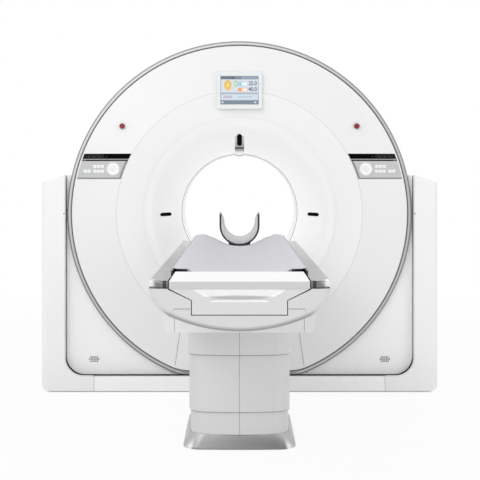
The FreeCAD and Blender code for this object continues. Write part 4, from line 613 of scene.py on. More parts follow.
def closeUp(piece):
    # merges the doubled points at poles and ends, and turns every face outwards
    shape = bmesh.new()
    shape.from_mesh(piece.data)
    bmesh.ops.remove_doubles(shape, verts=shape.verts, dist=0.000005)
    bmesh.ops.dissolve_degenerate(shape, edges=shape.edges, dist=0.000005)
    bmesh.ops.recalc_face_normals(shape, faces=shape.faces)
    shape.to_mesh(piece.data)
    shape.free()


def standPiece(name, mesh, finish, body):
    # an object at the origin for a finished mesh, riding on a body
    mesh.name = name
    mesh.materials.clear()
    mesh.materials.append(finish.material)
    piece = bpy.data.objects.new(name, mesh)
    scene.collection.objects.link(piece)
    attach(piece, body)
    return piece


def addPiece(name, shape, finish, body):
    # a closed, smooth piece from arrays of points and faces
    points, faces = shape
    mesh = bpy.data.meshes.new(name)
    mesh.from_pydata(np.asarray(points, float).reshape(-1, 3), [], faces.tolist())
    mesh.polygons.foreach_set("use_smooth", np.ones(len(mesh.polygons), bool))
    mesh.update()
    piece = standPiece(name, mesh, finish, body)
    closeUp(piece)
    return piece


def gridFaces(rows, columns):
    # four-cornered faces between neighbouring rows; the last column joins the first
    row, column = np.meshgrid(np.arange(rows - 1), np.arange(columns), indexing="ij")
    after = (column + 1) % columns
    quads = np.stack([row * columns + column, row * columns + after,
                      (row + 1) * columns + after, (row + 1) * columns + column], axis=-1)
    return quads.reshape(-1, 4)


def manyGrids(points):
    # points of (shape, row, column) as one piece: each shape's faces follow the last one's
    count, rows, columns = points.shape[:3]
    starts = np.arange(count)[:, None, None] * rows * columns
    return points.reshape(-1, 3), (gridFaces(rows, columns) + starts).reshape(-1, 4)


def gathered(parts):
    # several (points, faces) pairs as one
    points, faces, start = [], [], 0
    for partPoints, partFaces in parts:
        points.append(partPoints)
        faces.append(partFaces + start)
        start += len(partPoints)
    return np.concatenate(points), np.concatenate(faces)


def skinned(rows):
    # closed outlines joined one to the next, with both ends drawn in to their middles
    middle = rows.mean(axis=1, keepdims=True)
    first = np.repeat(middle[:1], rows.shape[1], axis=1)
    last = np.repeat(middle[-1:], rows.shape[1], axis=1)
    rows = np.concatenate([first, rows, last])
    return rows.reshape(-1, 3), gridFaces(*rows.shape[:2])


def roundProfile(radiusAcross, radiusOut, turns=8):
    # an ellipse: cosine times one radius, sine times the other
    angle = np.linspace(0, 2 * np.pi, turns, endpoint=False)
    return np.stack([radiusAcross * np.cos(angle), radiusOut * np.sin(angle)], axis=-1)


def carried(path, across, out, profile):
    # a profile of (across, out) offsets carried along a path
    across, out = (np.broadcast_to(np.asarray(part, float), path.shape) for part in (across, out))
    return skinned(path[:, None] + across[:, None] * profile[:, :1] + out[:, None] * profile[:, 1:])


def seamLine(start, end, across, out, halfWidth, proud):
    # a low bead from start to end, lying in the joint between two covers
    ratio = np.linspace(0, 1, 24)[:, None]
    path = np.asarray(start) * (1 - ratio) + np.asarray(end) * ratio
    return carried(path, across, out, roundProfile(halfWidth, proud))


def circlePath(centre, radius, steps, right=(1, 0, 0), up=(0, 0, 1)):
    # a circle and its outward directions: the cosine along right and the sine along up
    angle = np.linspace(0, 2 * np.pi, steps + 1)[:, None]
    outward = np.cos(angle) * np.asarray(right) + np.sin(angle) * np.asarray(up)
    return np.asarray(centre) + outward * radius, outward


def coverDepth(x, z):
    # how far the gantry's cover stands forward: rising from throat to crease, then
    # falling to the ring, in proportion to the distance from the bore's axis
    return np.interp(np.hypot(x, z - boreHeight), cover["reach"], cover["depth"])


tile = {"rings": 4, "round": 0.12, "sunk": 0.0004}


def tileField(centres, half, corner, rise, surface, turns=24):
    # soft-edged tiles: the outline is a superellipse, each ring of it shrinks to the
    # middle as its height rises along a quarter round, and all lie on a surface
    angle = np.linspace(0, 2 * np.pi, turns, endpoint=False)
    wave = np.stack([np.cos(angle), np.sin(angle)], axis=-1)
    outline = np.sign(wave) * np.abs(wave) ** (2.0 / corner) * np.asarray(half)
    turn = np.linspace(0, np.pi / 2, tile["rings"])
    shrink = 1 - tile["round"] * (1 - np.cos(turn))
    shrink = np.concatenate([shrink, [shrink[-1] * 0.5, 0.0]])
    lift = np.concatenate([np.sin(turn), [1.0, 1.0]])
    flat = np.asarray(centres, float)[:, None, None] + outline * shrink[:, None, None]
    x, z = flat[..., 0], flat[..., 1]
    out = surface(x, z) + rise * lift[:, None] - tile["sunk"]
    return manyGrids(np.stack([x, -np.broadcast_to(out, x.shape), z], axis=-1))


roundCap = {"turns": 24, "rings": (1.0, 1.0, 0.86, 0.0), "lifts": (-0.3, 0.6, 1.0, 1.0)}


def turnedCaps(centres, axes, radius, rise):
    # low round caps: rings of a circle whose radius and lift follow two lists of shares
    centres, axes = np.asarray(centres, float), np.asarray(axes, float)
    helper = np.where(np.abs(axes[:, 2:]) > 0.9, (1.0, 0, 0), (0, 0, 1.0))
    first = np.cross(axes, helper)
    first /= np.linalg.norm(first, axis=1, keepdims=True)
    second = np.cross(axes, first)
    angle = np.linspace(0, 2 * np.pi, roundCap["turns"], endpoint=False)[:, None]
    circle = np.cos(angle) * first[:, None] + np.sin(angle) * second[:, None]
    rings = (np.array(roundCap["rings"]) * radius)[:, None, None]
    lifts = (np.array(roundCap["lifts"]) * rise)[:, None, None]
    return manyGrids(centres[:, None, None] + circle[:, None] * rings + axes[:, None, None] * lifts)


display = {
    "left": -0.110, "bottom": 1.665, "width": 0.220, "height": 0.164, "face": 0.468,
    # name: the words, and their left and low edges in shares of the glass
    "readings": {"upper_reading": ("25.0", 0.735, 0.675), "lower_reading": ("40.0", 0.735, 0.470)},
    "readingSize": 0.0325, "narrow": 0.86, "thick": 0.0001, "bold": 0.0005,
    "wave": (150.0, 0.034, 0.268),       # a sine's pace, height and middle
}


def paintDisplay(finish):
    # the picture is built in layers over u and v, which run from 0 to 1 over the glass
    x, y, z = finish.axes()
    u = (x - display["left"]) / display["width"]
    v = (z - display["bottom"]) / display["height"]

    def pane(left, right, low, high):
        # 1 inside the rectangle: its distance from the middle is under half its size
        sideways = (u - (left + right) / 2).size().below((right - left) / 2)
        upright = (v - (low + high) / 2).size().below((high - low) / 2)
        return sideways * upright

    def oval(left, right, low, high, power=2.0):
        # 1 inside the ellipse: the sum of the powers of both distances is under 1
        sideways = ((u - (left + right) / 2) / ((right - left) / 2)).size()
        upright = ((v - (low + high) / 2) / ((high - low) / 2)).size()
        return (sideways ** power + upright ** power).below(1.0)

    slate, pale = tint(98, 116, 134), tint(214, 222, 232)
    layers = [
        (pane(0.0, 1.0, 0.887, 0.989), slate),
        (pane(0.55, 1.0, 0.887, 0.989), tint(128, 148, 172)),
        (pane(0.024, 0.369, 0.900, 0.975), tint(58, 78, 104)),
        (pane(0.293, 0.369, 0.900, 0.975), tint(34, 44, 62)),
        (pane(0.012, 0.988, 0.415, 0.880), tint(212, 219, 228)),
        (oval(0.094, 0.293, 0.486, 0.872), tint(226, 192, 84)),
        (oval(0.128, 0.259, 0.552, 0.806), tint(232, 170, 62)),
        (oval(0.160, 0.227, 0.60, 0.76), tint(252, 222, 90)),
        (oval(0.364, 0.455, 0.630, 0.849), tint(150, 196, 160)),
        (oval(0.384, 0.435, 0.680, 0.800), tint(206, 228, 206)),
        (oval(0.455, 0.715, 0.644, 0.803, 4.0), tint(150, 204, 222)),
        (oval(0.560, 0.700, 0.668, 0.779, 4.0), tint(246, 250, 255)),
        (oval(0.455, 0.715, 0.458, 0.581, 4.0), tint(240, 150, 52)),
        (oval(0.560, 0.700, 0.478, 0.561, 4.0), tint(255, 250, 244)),
        (pane(0.0, 1.0, 0.377, 0.415), tint(150, 160, 180)),
        (pane(0.012, 0.988, 0.151, 0.370), tint(200, 217, 229)),
        (pane(0.469, 0.830, 0.255, 0.278), tint(150, 168, 190)),
        (pane(0.0, 1.0, 0.018, 0.144), slate),
        (oval(0.030, 0.085, 0.045, 0.105), pale),
        (oval(0.885, 0.940, 0.045, 0.105), pale),
    ]
    # a short wave trace: its height follows a sine of u
    pace, height, middle = display["wave"]
    trace = (v - ((u * pace).sine() * height + middle)).size().below(0.014)
    layers.append((trace * pane(0.076, 0.304, 0.19, 0.35), tint(150, 34, 44)))
    picture = finish.mix(pane(0.0, 1.0, 0.0, 1.0), tint(20, 22, 26), tint(112, 124, 138))
    for mask, colour in layers:
        picture = finish.mix(mask, picture, colour)
    finish.feed("Emission Color", picture)


def makeReadings():
    # plain numbers on the display, drawn by Blender's own font and stood upright: their
    # height becomes z and their thickness y
    ink = mouldedFinish("readingInk", tint(40, 52, 76), 0.4,
                        others={"Emission Color": tint(30, 42, 66), "Emission Strength": 0.5})
    for name, (words, left, low) in display["readings"].items():
        curve = bpy.data.curves.new("reading", "FONT")
        curve.body = words
        curve.size = display["readingSize"]
        curve.extrude = display["thick"]
        curve.offset = display["bold"]
        holder = bpy.data.objects.new("reading", curve)
        mesh = bpy.data.meshes.new_from_object(holder)
        bpy.data.objects.remove(holder)
        flat = pointsOf(mesh)
        place = np.array([display["left"] + left * display["width"], -display["face"] - display["thick"],
                          display["bottom"] + low * display["height"]])
        upright = np.stack([flat[:, 0] * display["narrow"], -flat[:, 2], flat[:, 1]], axis=-1)
        mesh.vertices.foreach_set("co", (upright + place).ravel())
        standPiece(name, mesh, ink, "tilting_gantry")


paintDisplay(screenDark)
makeReadings()
print("display painted")


air = {"pressure": 4.0, "frames": 20, "quality": 4, "underLimit": 0.0003}


def airPass(piece, swell):
    # blows the closed cover up a little as cloth; each point's move is held under a
    # limit, by the limit times the hyperbolic tangent of its length over the limit
    mesh = piece.data
    before, facing = pointsOf(mesh), pointsOf(mesh, "normal")
    cloth = piece.modifiers.new("air", "CLOTH")
    cloth.settings.use_pressure = True
    cloth.settings.uniform_pressure_force = air["pressure"]
    cloth.settings.effector_weights.gravity = 0.0
    cloth.settings.quality = air["quality"]
    cloth.point_cache.frame_start = 1
    cloth.point_cache.frame_end = air["frames"]
    for frameNumber in range(1, air["frames"] + 1):
        scene.frame_set(frameNumber)
    blown = piece.evaluated_get(bpy.context.evaluated_depsgraph_get())
    move = pointsOf(blown.data) - before
    length = np.linalg.norm(move, axis=1, keepdims=True) + 0.0000001
    limit = np.where(facing[:, 2:] < 0.1, air["underLimit"], swell)
    piece.modifiers.remove(cloth)
    mesh.vertices.foreach_set("co", (before + move / length * limit * np.tanh(length / limit)).ravel())
    mesh.update()
    scene.frame_set(1)


def fillOut(piece, swell):
    # a padded piece is blown up, and then smoothed
    airPass(piece, swell)
    smooth = piece.modifiers.new("smooth", "SUBSURF")
    smooth.levels = smooth.render_levels = 1


mattressShape = {
    # half of the section, as across and up: from the middle of its underside to its edge,
    # round the edge's lip, and from its highest line to the middle of its top
    "under": ((0.0, 0.8468), (0.060, 0.8469), (0.078, 0.8530), (0.211, 0.9014), (0.2275, 0.9120)),
    "edge": ((0.2290, 0.9190), (0.2291, 0.9280), (0.2301, 0.9289), (0.2350, 0.9290),
             (0.2368, 0.9304), (0.2362, 0.9330), (0.2310, 0.9358)),
    "top": ((0.2200, 0.9376), (0.2090, 0.9352), (0.196, 0.9295), (0.090, 0.8852),
            (0.062, 0.8752), (0.040, 0.8716), (0.0, 0.8698)),
    "lipFrom": 0.228, "lipMiddle": 0.9325,
    "near": -2.7425, "far": -0.7485,
    "endRound": 0.011,
    # how far the near and far corners are cut away, along and across
    "cornerAlong": 0.055, "cornerAcross": 0.052,
    "step": 0.011, "stations": 176,
    "swell": 0.0032,
}
mattressHalf = max(mattressShape["edge"])[0]
# the seams along the edges start fromEnd away from both ends; those across reach endHalf
mattressSeam = {"fromEnd": 0.056, "proud": 0.0003, "up": 0.9312, "radii": (0.0011, 0.0009),
                "endHalf": 0.165, "endProud": 0.0010, "endRadii": (0.0012, 0.0012)}


def padLayers(finish):
    # the mattress's cut-away near corners are painted near black: across and along the cut sum to
    # one on its line, and the black ends below the rounded upper edge
    x, y, z = finish.axes()
    across = (x.size() - mattressHalf + mattressShape["cornerAcross"]) / mattressShape["cornerAcross"]
    along = (y - mattressShape["near"]) / mattressShape["cornerAlong"]
    return [((across - along).ramp(-0.10, -0.05) * z.ramp(0.9300, 0.9284), grey(16))]


def sectionLoop():
    # the section's key points with more put between them, then mirrored into a closed loop
    keys = np.array(mattressShape["under"] + mattressShape["edge"] + mattressShape["top"])
    run = np.concatenate([[0], np.cumsum(np.linalg.norm(np.diff(keys, axis=0), axis=1))])
    spots = np.union1d(np.arange(0, run[-1], mattressShape["step"]), run)
    spots = spots[np.concatenate([[True], np.diff(spots) > 0.0007])]
    half = np.stack([np.interp(spots, run, keys[:, 0]), np.interp(spots, run, keys[:, 1])], axis=-1)
    half[-1] = keys[-1]
    return np.concatenate([half, half[-2:0:-1] * (-1, 1)])


def middleHeight(across):
    # halfway between the section's top and its underside
    top, under = np.array(mattressShape["top"][::-1]), np.array(mattressShape["under"])
    return (np.interp(np.abs(across), *top.T) + np.interp(np.abs(across), *under.T)) / 2


def mattressPoints():
    # the section at each place along the pad: from either end its thickness grows as a
    # quarter round and its width as a quarter ellipse
    shape = mattressShape
    loop = sectionLoop()
    middle = np.where(np.abs(loop[:, 0]) > shape["lipFrom"], shape["lipMiddle"], middleHeight(loop[:, 0]))
    ends = shape["endRound"] * (1 - np.cos(np.linspace(0, np.pi / 2, 7)))
    length = shape["far"] - shape["near"]
    inner = np.linspace(shape["endRound"], length - shape["endRound"], shape["stations"])[1:-1]
    along = np.concatenate([ends, inner, (length - ends)[::-1]])
    fromEnd = np.minimum(along, length - along)
    rounding = np.clip(fromEnd / shape["endRound"], 0, 1)
    thick = np.sqrt(1 - (1 - rounding) ** 2)[:, None]
    turning = 1 - np.clip(fromEnd / shape["cornerAlong"], 0, 1)
    inset = shape["cornerAcross"] * (1 - np.sqrt(1 - turning ** 2))
    x = loop[:, 0] * (1 - inset / mattressHalf)[:, None]
    y = np.broadcast_to((shape["near"] + along)[:, None], x.shape)
    z = middle + (loop[:, 1] - middle) * thick
    # a slow, uneven fullness along the slopes, as foam under a welded cover has
    waves = np.sin(y * 9.0 + x * 14.0) + np.sin(y * 23.0 - x * 31.0) * 0.5
    z = z + np.clip(z - middle, 0, None) * (0.03 + 0.02 * waves)
    return np.stack([x, y, z], axis=-1)


def makeMattress():
    vinyl = vinylFinish("padVinyl", tint(214, 214, 220), 0.52, padLayers)
    pad = addPiece("mattress_cover", manyGrids(mattressPoints()[None]), vinyl, "cradle_slide")
    fillOut(pad, mattressShape["swell"])
    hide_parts("mattress")
    print("mattress made:", len(pad.data.vertices), "points")


def makeMattressSeams():
    # welded seams: along both edges and across both ends, on the middle line
    seam = mattressSeam
    near, far = mattressShape["near"], mattressShape["far"]
    run = np.linspace(near + seam["fromEnd"], far - seam["fromEnd"], 160)
    parts = []
    for side in sides.values():
        edge = side * (mattressHalf + seam["proud"])
        path = np.stack([np.full(160, edge), run, np.full(160, seam["up"])], axis=-1)
        parts.append(carried(path, (0, 0, 1), (side, 0, 0), roundProfile(*seam["radii"])))
    sweep = np.linspace(-seam["endHalf"], seam["endHalf"], 80)
    for end, out in ((near, -1), (far, 1)):
        path = np.stack([sweep, np.full(80, end + out * seam["endProud"]), middleHeight(sweep)], axis=-1)
        parts.append(carried(path, (0, 0, 1), (0, out, 0), roundProfile(*seam["endRadii"])))
    vinyl = vinylFinish("seamVinyl", tint(190, 190, 197), 0.6)
    addPiece("mattress_seams", gathered(parts), vinyl, "cradle_slide")


headCushion = {"voxel": 0.004, "inset": 0.0006, "swell": 0.0022}


def makeHeadPad():
    # the head pad's solid, copied and merged, remade in even cells, then blown up a little
    rough = bpy.data.objects.new("rough_cushion", nodes["head_pad"].data.copy())
    scene.collection.objects.link(rough)
    closeUp(rough)
    voxels = rough.modifiers.new("voxels", "REMESH")
    voxels.mode = "VOXEL"
    voxels.voxel_size = headCushion["voxel"]
    soften = rough.modifiers.new("soften", "SMOOTH")
    soften.factor = 0.5
    soften.iterations = 4
    graph = bpy.context.evaluated_depsgraph_get()
    mesh = bpy.data.meshes.new_from_object(rough.evaluated_get(graph))
    bpy.data.objects.remove(rough)
    mesh.polygons.foreach_set("use_smooth", np.ones(len(mesh.polygons), bool))
    inner = pointsOf(mesh) - pointsOf(mesh, "normal") * headCushion["inset"]
    mesh.vertices.foreach_set("co", inner.ravel())
    mesh.update()
    vinyl = vinylFinish("headVinyl", tint(212, 212, 214), 0.55)
    pad = standPiece("head_cushion", mesh, vinyl, "cradle_slide")
    fillOut(pad, headCushion["swell"])
    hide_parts("head_pad")
    print("head pad made:", len(mesh.vertices), "points")


keypad = {
    # height of a row of keys: its keys' distances from the middle
    "rows": {1.3085: (0.7935, 0.8155, 0.8375), 1.2810: (0.7935, 0.8155, 0.8375, 0.8720, 0.8940)},
    "keyHalf": (0.0102, 0.0092), "keyRise": 0.0016, "proud": 0.001,
    "lampsAcross": (0.770, 0.8115, 0.843, 0.8745), "lampsUp": 1.364,
    "lampHalf": (0.0021, 0.0021), "lampRise": 0.0006,
}
keyWhite = mouldedFinish("keyWhite", tint(236, 240, 240), 0.4, peel=0.00001)
lampGrey = mouldedFinish("lampGrey", grey(120), 0.3, peel=0.00001)


def panelDepth(x, z):
    # the faces of panels and strips stand a little proud of the cover
    return coverDepth(x, z) + keypad["proud"]


def makeKeypads():
    # square keys in rows on the panels, and small round lamps in a row on the strips
    for name, side in sides.items():
        centres = [(side * place, up) for up, places in keypad["rows"].items() for place in places]
        keys = tileField(centres, keypad["keyHalf"], 5.0, keypad["keyRise"], panelDepth)
        addPiece(name + "_keys", keys, keyWhite, "tilting_gantry")
        centres = [(side * place, keypad["lampsUp"]) for place in keypad["lampsAcross"]]
        lamps = tileField(centres, keypad["lampHalf"], 2.0, keypad["lampRise"], panelDepth)
        addPiece(name + "_strip_lamps", lamps, lampGrey, "tilting_gantry")


dial = {
    "across": 0.730, "up": 1.294, "face": 0.4514,
    "ring": 0.0365, "diamond": 0.019, "dot": 0.003, "dotRise": 0.0008,
    "ringRadii": (0.0011, 0.0006), "diamondRadii": (0.0008, 0.0004),
}
markGrey = mouldedFinish("markGrey", grey(196), 0.4, peel=0.00001)


def makeDialMarks():
    # a diamond line, a centre dot and a raised rim on each round button, which faces along
    # the cover's slope at its own place: forwards plus the slope times outwards
    slope = (cover["depth"][1] - cover["depth"][2]) / (cover["reach"][2] - cover["reach"][1])
    for name, side in sides.items():
        centre = np.array([side * dial["across"], -dial["face"], dial["up"]])
        outward = centre - np.array([0, -dial["face"], boreHeight])
        facing = np.array([0, -1.0, 0]) + outward / np.linalg.norm(outward) * slope
        facing /= np.linalg.norm(facing)
        up = np.array([0, 0, 1.0]) - facing * facing[2]
        up /= np.linalg.norm(up)
        right = np.cross(up, facing)
        ring, away = circlePath(centre, dial["ring"], 64, right, up)
        parts = [carried(ring, away, facing, roundProfile(*dial["ringRadii"], 10))]
        corners = np.array([(1, 0), (0, 1), (-1, 0), (0, -1), (1, 0)]) * dial["diamond"]
        along = np.linspace(0, 4, 65)
        line = (np.interp(along, range(5), corners[:, 0])[:, None] * right
                + np.interp(along, range(5), corners[:, 1])[:, None] * up)
        away = line / np.linalg.norm(line, axis=1)[:, None]
        parts.append(carried(centre + line, away, facing, roundProfile(*dial["diamondRadii"], 10)))
        spot = centre + np.linspace(0, 1, 3)[:, None] * facing * dial["dotRise"]
        parts.append(carried(spot, right, up, roundProfile(dial["dot"], dial["dot"], 16)))
        addPiece(name + "_dial_marks", gathered(parts), markGrey, name + "_round_button")


seamGrey = blackFinish("seamGrey", 96, 0.6)
lipGrey = mouldedFinish("lipGrey", grey(226), 0.6, peel=0.00002)
capGrey = mouldedFinish("capGrey", grey(206), 0.4, peel=0.00001)
holeBlack = blackFinish("holeBlack", 12, 0.8, others={"Specular IOR Level": 0.1})

seamRadii = {"fine": (0.0008, 0.0006), "pedestal": (0.0009, 0.0006), "access": (0.0010, 0.0006)}

# the access panel: half its width at the crease and at the ring, and how far below the
# bore's axis they are
access = {"half": (0.336, 0.3742), "down": (0.6255, 0.8805), "front": 0.4517, "sunk": 0.0002}


def makeCoverSeams():
    # the joints of the access panel: a straight line on the cone from crease to ring,
    # and the joint along the crease between them
    parts = []
    ratio = np.linspace(0, 1, 30)
    for side in sides.values():
        x = side * (access["half"][0] + (access["half"][1] - access["half"][0]) * ratio)
        z = boreHeight - (access["down"][0] + (access["down"][1] - access["down"][0]) * ratio)
        path = np.stack([x, -coverDepth(x, z) + access["sunk"], z], axis=-1)
        parts.append(carried(path, (1, 0, 0), (0, -1, 0), roundProfile(*seamRadii["access"])))
    crease = cover["reach"][1]
    angle = np.linspace(-1, 1, 90) * np.arcsin(access["half"][0] / crease)
    outward = np.stack([np.sin(angle), np.zeros(90), -np.cos(angle)], axis=-1)
    path = outward * crease + np.array([0, -access["front"], boreHeight])
    parts.append(carried(path, outward, (0, -1, 0), roundProfile(*seamRadii["fine"])))
    addPiece("access_seams", gathered(parts), seamGrey, "tilting_gantry")


pedestalCovers = {
    # cover: its body, and the low and high ends of the line down its front
    "upper": ("table_top", 0.432, 0.632),
    "middle": ("lift_middle", 0.169, 0.470),
    "lower": ("base", 0.0635, 0.210),
}
jointSunk = 0.0008


def makePedestalJoints():
    # the upright joint in the middle of each pedestal cover's front, just under its face
    for name, (body, low, high) in pedestalCovers.items():
        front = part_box(f"pedestal_{name}_cover")[0][1] + jointSunk
        line = seamLine((0, front, low), (0, front, high), (1, 0, 0), (0, -1, 0), *seamRadii["pedestal"])
        addPiece(name + "_cover_joint", line, seamGrey, body)


def lowestOutline(name):
    # the outer outline of a node's lower edge: the convex hull of its lowest points
    points = pointsOf(nodes[name].data)
    ring = points[points[:, 2] < points[:, 2].min() + 0.0005]
    return ring[geometry.convex_hull_2d([Vector(point[:2]) for point in ring])]


wiperAndShadow = {"inset": 0.0030, "drop": 0.0004, "radii": (0.0028, 0.0016)}


def makeWipersAndShadows():
    # dark wiper seals inside the lower edges of the pedestal covers, which also stand in for the
    # shadow beneath each cover's edge
    finish = blackFinish("wiperShadowGrey", 70, 0.7)
    for name, (body, low, high) in pedestalCovers.items():
        outline = lowestOutline(f"pedestal_{name}_cover")
        outward = (outline - outline.mean(axis=0)) * np.array([1, 1, 0])
        outward /= np.linalg.norm(outward, axis=1, keepdims=True)
        path = outline - outward * wiperAndShadow["inset"] - np.array([0, 0, wiperAndShadow["drop"]])
        path, outward = (np.concatenate([rows, rows[:1]]) for rows in (path, outward))
        seal = carried(path, outward, (0, 0, -1), roundProfile(*wiperAndShadow["radii"]))
        addPiece(name + "_wiper_and_shadow", seal, finish, body)


# depth along the bore and how proud each joint stands
boreJoint = {"radius": 0.3502, "halfWidth": 0.0016, "proud": {-0.16: 0.0028, 0.16: 0.0008}}


def makeBoreJoints():
    # the fine joints between funnels and liners, seen inside the bore
    parts = []
    for depth, proud in boreJoint["proud"].items():
        path, outward = circlePath((0, depth, boreHeight), boreJoint["radius"], 180)
        parts.append(carried(path, (0, 1, 0), -outward, roundProfile(boreJoint["halfWidth"], proud)))
    finish = blackFinish("jointGrey", 140, 0.6)
    addPiece("bore_joints", gathered(parts), finish, "tilting_gantry")


laserLip = {
    "halfAngle": 0.060,
    # the section, as depth and distance from the bore's axis
    "section": ((-0.2165, 0.3608), (-0.2135, 0.3500), (-0.2060, 0.3400), (-0.1990, 0.3378),
                (-0.1750, 0.3378), (-0.1740, 0.3500), (-0.1900, 0.3530), (-0.2100, 0.3600)),
}


def makeLaserLip():
    # the white block between the laser strip's lower end and the bore: a section swept
    # about the bore's axis
    angle = np.linspace(-laserLip["halfAngle"], laserLip["halfAngle"], 9)[:, None]
    depth, reach = np.array(laserLip["section"]).T
    x, z = reach * np.sin(angle), boreHeight + reach * np.cos(angle)
    rows = np.stack([x, np.broadcast_to(depth, x.shape), z], axis=-1)
    finish = mouldedFinish("laserWhite", grey(250), 0.4, layers=laserLipLayers)
    addPiece("laser_lip", skinned(rows), finish, "tilting_gantry")


gasket = {"corner": 0.014, "outset": 0.0012, "proud": 0.0002, "radii": (0.0034, 0.0014)}


def makeBezelGasket():
    # a soft white gasket that fills the joint between bezel and cover: a rounded rectangle
    # laid on the cover's surface
    low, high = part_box("display_bezel")
    turn, middle = gasket["corner"], (high[2] + low[2]) / 2
    halfWide = high[0] + gasket["outset"] - turn
    halfTall = (high[2] - low[2]) / 2 + gasket["outset"] - turn
    corners = []
    for index, (side, rise) in enumerate(((1, 1), (-1, 1), (-1, -1), (1, -1))):
        swing = np.linspace(0, np.pi / 2, 9) + index * np.pi / 2
        corners.append(np.stack([side * halfWide + turn * np.cos(swing),
                                 middle + rise * halfTall + turn * np.sin(swing),
                                 np.cos(swing), np.sin(swing)], axis=-1))
    loop = np.concatenate(corners + [corners[0][:1]])
    x, z = loop[:, 0], loop[:, 1]
    path = np.stack([x, -coverDepth(x, z) - gasket["proud"], z], axis=-1)
    outward = np.stack([loop[:, 2], np.zeros(len(loop)), loop[:, 3]], axis=-1)
    bead = carried(path, outward, (0, -1, 0), roundProfile(*gasket["radii"]))
    finish = mouldedFinish("gasketWhite", grey(240), 0.45, peel=0.00001)
    addPiece("bezel_gasket", bead, finish, "tilting_gantry")


hatch = {"inner": 0.1665, "outer": 0.2225, "front": -2.8396, "up": 0.804}
boxCover = {"across": 0.25675, "front": -2.2664, "low": 0.636, "high": 0.779}


def makeTableJoints():
    # lines of the hatch in the belly cover and of the box cover behind it
    parts = []
    for side in sides.values():
        ends = [(side * across, hatch["front"], hatch["up"]) for across in (hatch["inner"], hatch["outer"])]
        parts.append(seamLine(*ends, (0, 0, 1), (0, -1, 0), *seamRadii["fine"]))
        ends = [(side * boxCover["across"], boxCover["front"], boxCover[end]) for end in ("low", "high")]
        parts.append(seamLine(*ends, (1, 0, 0), (0, -1, 0), *seamRadii["fine"]))
    addPiece("table_joints", gathered(parts), seamGrey, "table_top")


plinthLip = {"endInset": 0.0005, "faceInset": 0.0045, "radii": (0.0036, 0.0050)}


def makePlinthLips():
    # a pale rubber lip along the top of the plinth, front and rear
    across, deep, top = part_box("plinth_boards")[1]
    across, deep = across - plinthLip["endInset"], deep - plinthLip["faceInset"]
    parts = [seamLine((-across, facing * deep, top), (across, facing * deep, top),
                      (0, 1, 0), (0, 0, 1), *plinthLip["radii"]) for facing in (-1, 1)]
    addPiece("plinth_lips", gathered(parts), lipGrey, "base")


wingLip = {
    "inner": 1.011, "start": 0.8415, "low": 0.093, "high": 1.2545, "deep": 0.441,
    "turn": 0.109, "offset": 0.0026, "radii": (0.0052, 0.0042),
    # beside the housing, which swings past, the seal is slimmer: heights and shares
    "slimFrom": (0.130, 0.185), "slim": (1.0, 0.4),
}


def makeWingLips():
    # a pale bulb seal along each wing's inner edge: along the toe, round the corner by a
    # quarter circle and up the wing, held a little off the edge towards the housing
    inner, low, turn, offset = (wingLip[key] for key in ("inner", "low", "turn", "offset"))
    angle = np.linspace(-np.pi / 2, 0, 24)
    across = np.concatenate([np.linspace(wingLip["start"], inner - turn, 6)[:-1],
                             inner - turn + (turn - offset) * np.cos(angle), np.full(30, inner - offset)])
    up = np.concatenate([np.full(5, low + offset), low + turn + (turn - offset) * np.sin(angle),
                         np.linspace(low + turn, wingLip["high"], 31)[1:]])
    swing = np.concatenate([np.full(5, -np.pi / 2), angle, np.zeros(30)])
    slim = np.interp(up, wingLip["slimFrom"], wingLip["slim"])
    parts = []
    for side in sides.values():
        for facing in (-1, 1):
            path = np.stack([side * across, np.full(len(up), facing * wingLip["deep"]), up], axis=-1)
            out = np.stack([side * np.cos(swing) * slim, np.zeros(len(up)), np.sin(swing) * slim], axis=-1)
            parts.append(carried(path, out, (0, facing, 0), roundProfile(*wingLip["radii"], 12)))
    addPiece("wing_lips", gathered(parts), lipGrey, "base")


grille = {
    "across": 0.847, "up": 0.186, "face": 0.3954, "half": (0.0037, 0.0043), "rise": 0.0003,
    # a row's height over the middle, its number of holes and their spacing
    "rows": ((0.0118, 5, 0.0096), (0.0, 7, 0.0090), (-0.0118, 5, 0.0096)),
}


def makeGrilles():
    # rows of small round speaker holes on both feet of the housing
    centres = [(side * grille["across"] + (index - (count - 1) / 2) * spacing, grille["up"] + rise)
               for side in sides.values() for rise, count, spacing in grille["rows"]
               for index in range(count)]
    holes = tileField(centres, grille["half"], 2.0, grille["rise"], lambda x, z: grille["face"], 16)
    addPiece("speaker_holes", holes, holeBlack, "tilting_gantry")


fastener = {
    "radius": 0.009, "rise": 0.0012,
    "rearReach": 0.935, "rearStep": 30, "clear": 40,     # the last two in degrees
    "wingDeep": 0.36, "wingUp": (0.16, 1.12),
}


def makeFasteners():
    # screw caps: round the rear cover, but for its lowest part, and on the wings' outer sides
    degrees = np.arange(fastener["rearStep"] / 2, 360, fastener["rearStep"])
    angle = np.radians(degrees[np.abs(degrees - 270) > fastener["clear"]])
    x, z = fastener["rearReach"] * np.cos(angle), boreHeight + fastener["rearReach"] * np.sin(angle)
    centres = np.stack([x, coverDepth(x, z), z], axis=-1)
    caps = turnedCaps(centres, [(0, 1, 0)] * len(x), fastener["radius"], fastener["rise"])
    addPiece("rear_screw_caps", caps, capGrey, "tilting_gantry")
    outer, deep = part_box("right_stand_cover")[1][0], fastener["wingDeep"]
    centres = [(side * outer, y, z) for side in sides.values() for y in (-deep, deep)
               for z in fastener["wingUp"]]
    axes = [(np.sign(x), 0, 0) for x, y, z in centres]
    caps = turnedCaps(centres, axes, fastener["radius"], fastener["rise"])
    addPiece("wing_screw_caps", caps, capGrey, "base")


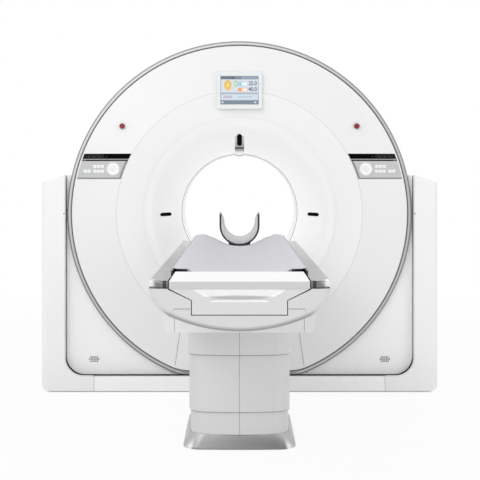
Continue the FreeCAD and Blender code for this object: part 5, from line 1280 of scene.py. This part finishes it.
vent = {
    "rise": 0.0003, "rearFace": 0.3954, "rearAcross": 0.850, "rearLow": 0.150, "rearStep": 0.016,
    "rearCount": 7, "rearHalf": (0.052, 0.0035),
    "topRadius": 0.990, "topFace": 0.9904, "topAngle": 0.20, "topCount": 15, "topAlong": 0.12,
    "topHalf": (0.0045, 0.075),
}


def makeVents():
    # dark slots: on the rear of the housing's feet, and along the housing's round top, where
    # the angle from the top is the distance across over the radius
    centres = [(side * vent["rearAcross"], vent["rearLow"] + step * vent["rearStep"])
               for side in sides.values() for step in range(vent["rearCount"])]
    points, faces = tileField(centres, vent["rearHalf"], 4.0, vent["rise"], lambda x, z: vent["rearFace"], 20)
    addPiece("rear_vents", (points * (1, -1, 1), faces), holeBlack, "tilting_gantry")
    centres = [(angle * vent["topRadius"], along)
               for angle in np.linspace(-vent["topAngle"], vent["topAngle"], vent["topCount"])
               for along in (-vent["topAlong"], vent["topAlong"])]
    flat, faces = tileField(centres, vent["topHalf"], 4.0, vent["rise"], lambda x, z: vent["topFace"], 20)
    angle, radius, along = flat[:, 0] / vent["topRadius"], -flat[:, 1], flat[:, 2]
    points = np.stack([radius * np.sin(angle), along, boreHeight + radius * np.cos(angle)], axis=-1)
    addPiece("top_vents", (points, faces), holeBlack, "tilting_gantry")


collar = {"radius": 0.0172, "proud": 0.0002, "radii": (0.0016, 0.0015)}


def makeStopCollars():
    # a slim collar round each stop button's stem, standing on the cover
    for name in sides:
        low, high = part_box(name + "_stop_button")
        centre = ((low[0] + high[0]) / 2, 0, (low[2] + high[2]) / 2)
        ring, outward = circlePath(centre, collar["radius"], 48)
        ring[:, 1] = -coverDepth(ring[:, 0], ring[:, 2]) - collar["proud"]
        bead = carried(ring, outward, (0, -1, 0), roundProfile(*collar["radii"], 10))
        addPiece(name + "_stop_collar", bead, capGrey, "tilting_gantry")


wingCatch = {"across": 1.0150, "radius": 0.0034, "rise": 0.001}


def makeWingCatches():
    # the small round catch at the edge of each wing, at the height of the bore
    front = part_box("right_stand_cover")[0][1]
    centres = [(side * wingCatch["across"], front, boreHeight) for side in sides.values()]
    caps = turnedCaps(centres, [(0, -1, 0)] * 2, wingCatch["radius"], wingCatch["rise"])
    addPiece("wing_catches", caps, blackFinish("sealBlack", 34, 0.7), "base")


makeMattress()
makeMattressSeams()
makeHeadPad()
makeKeypads()
makeDialMarks()
makeCoverSeams()
makePedestalJoints()
makeWipersAndShadows()
makeBoreJoints()
makeLaserLip()
makeBezelGasket()
makeTableJoints()
makePlinthLips()
makeWingLips()
makeGrilles()
makeFasteners()
makeVents()
makeStopCollars()
makeWingCatches()
print("small parts made")
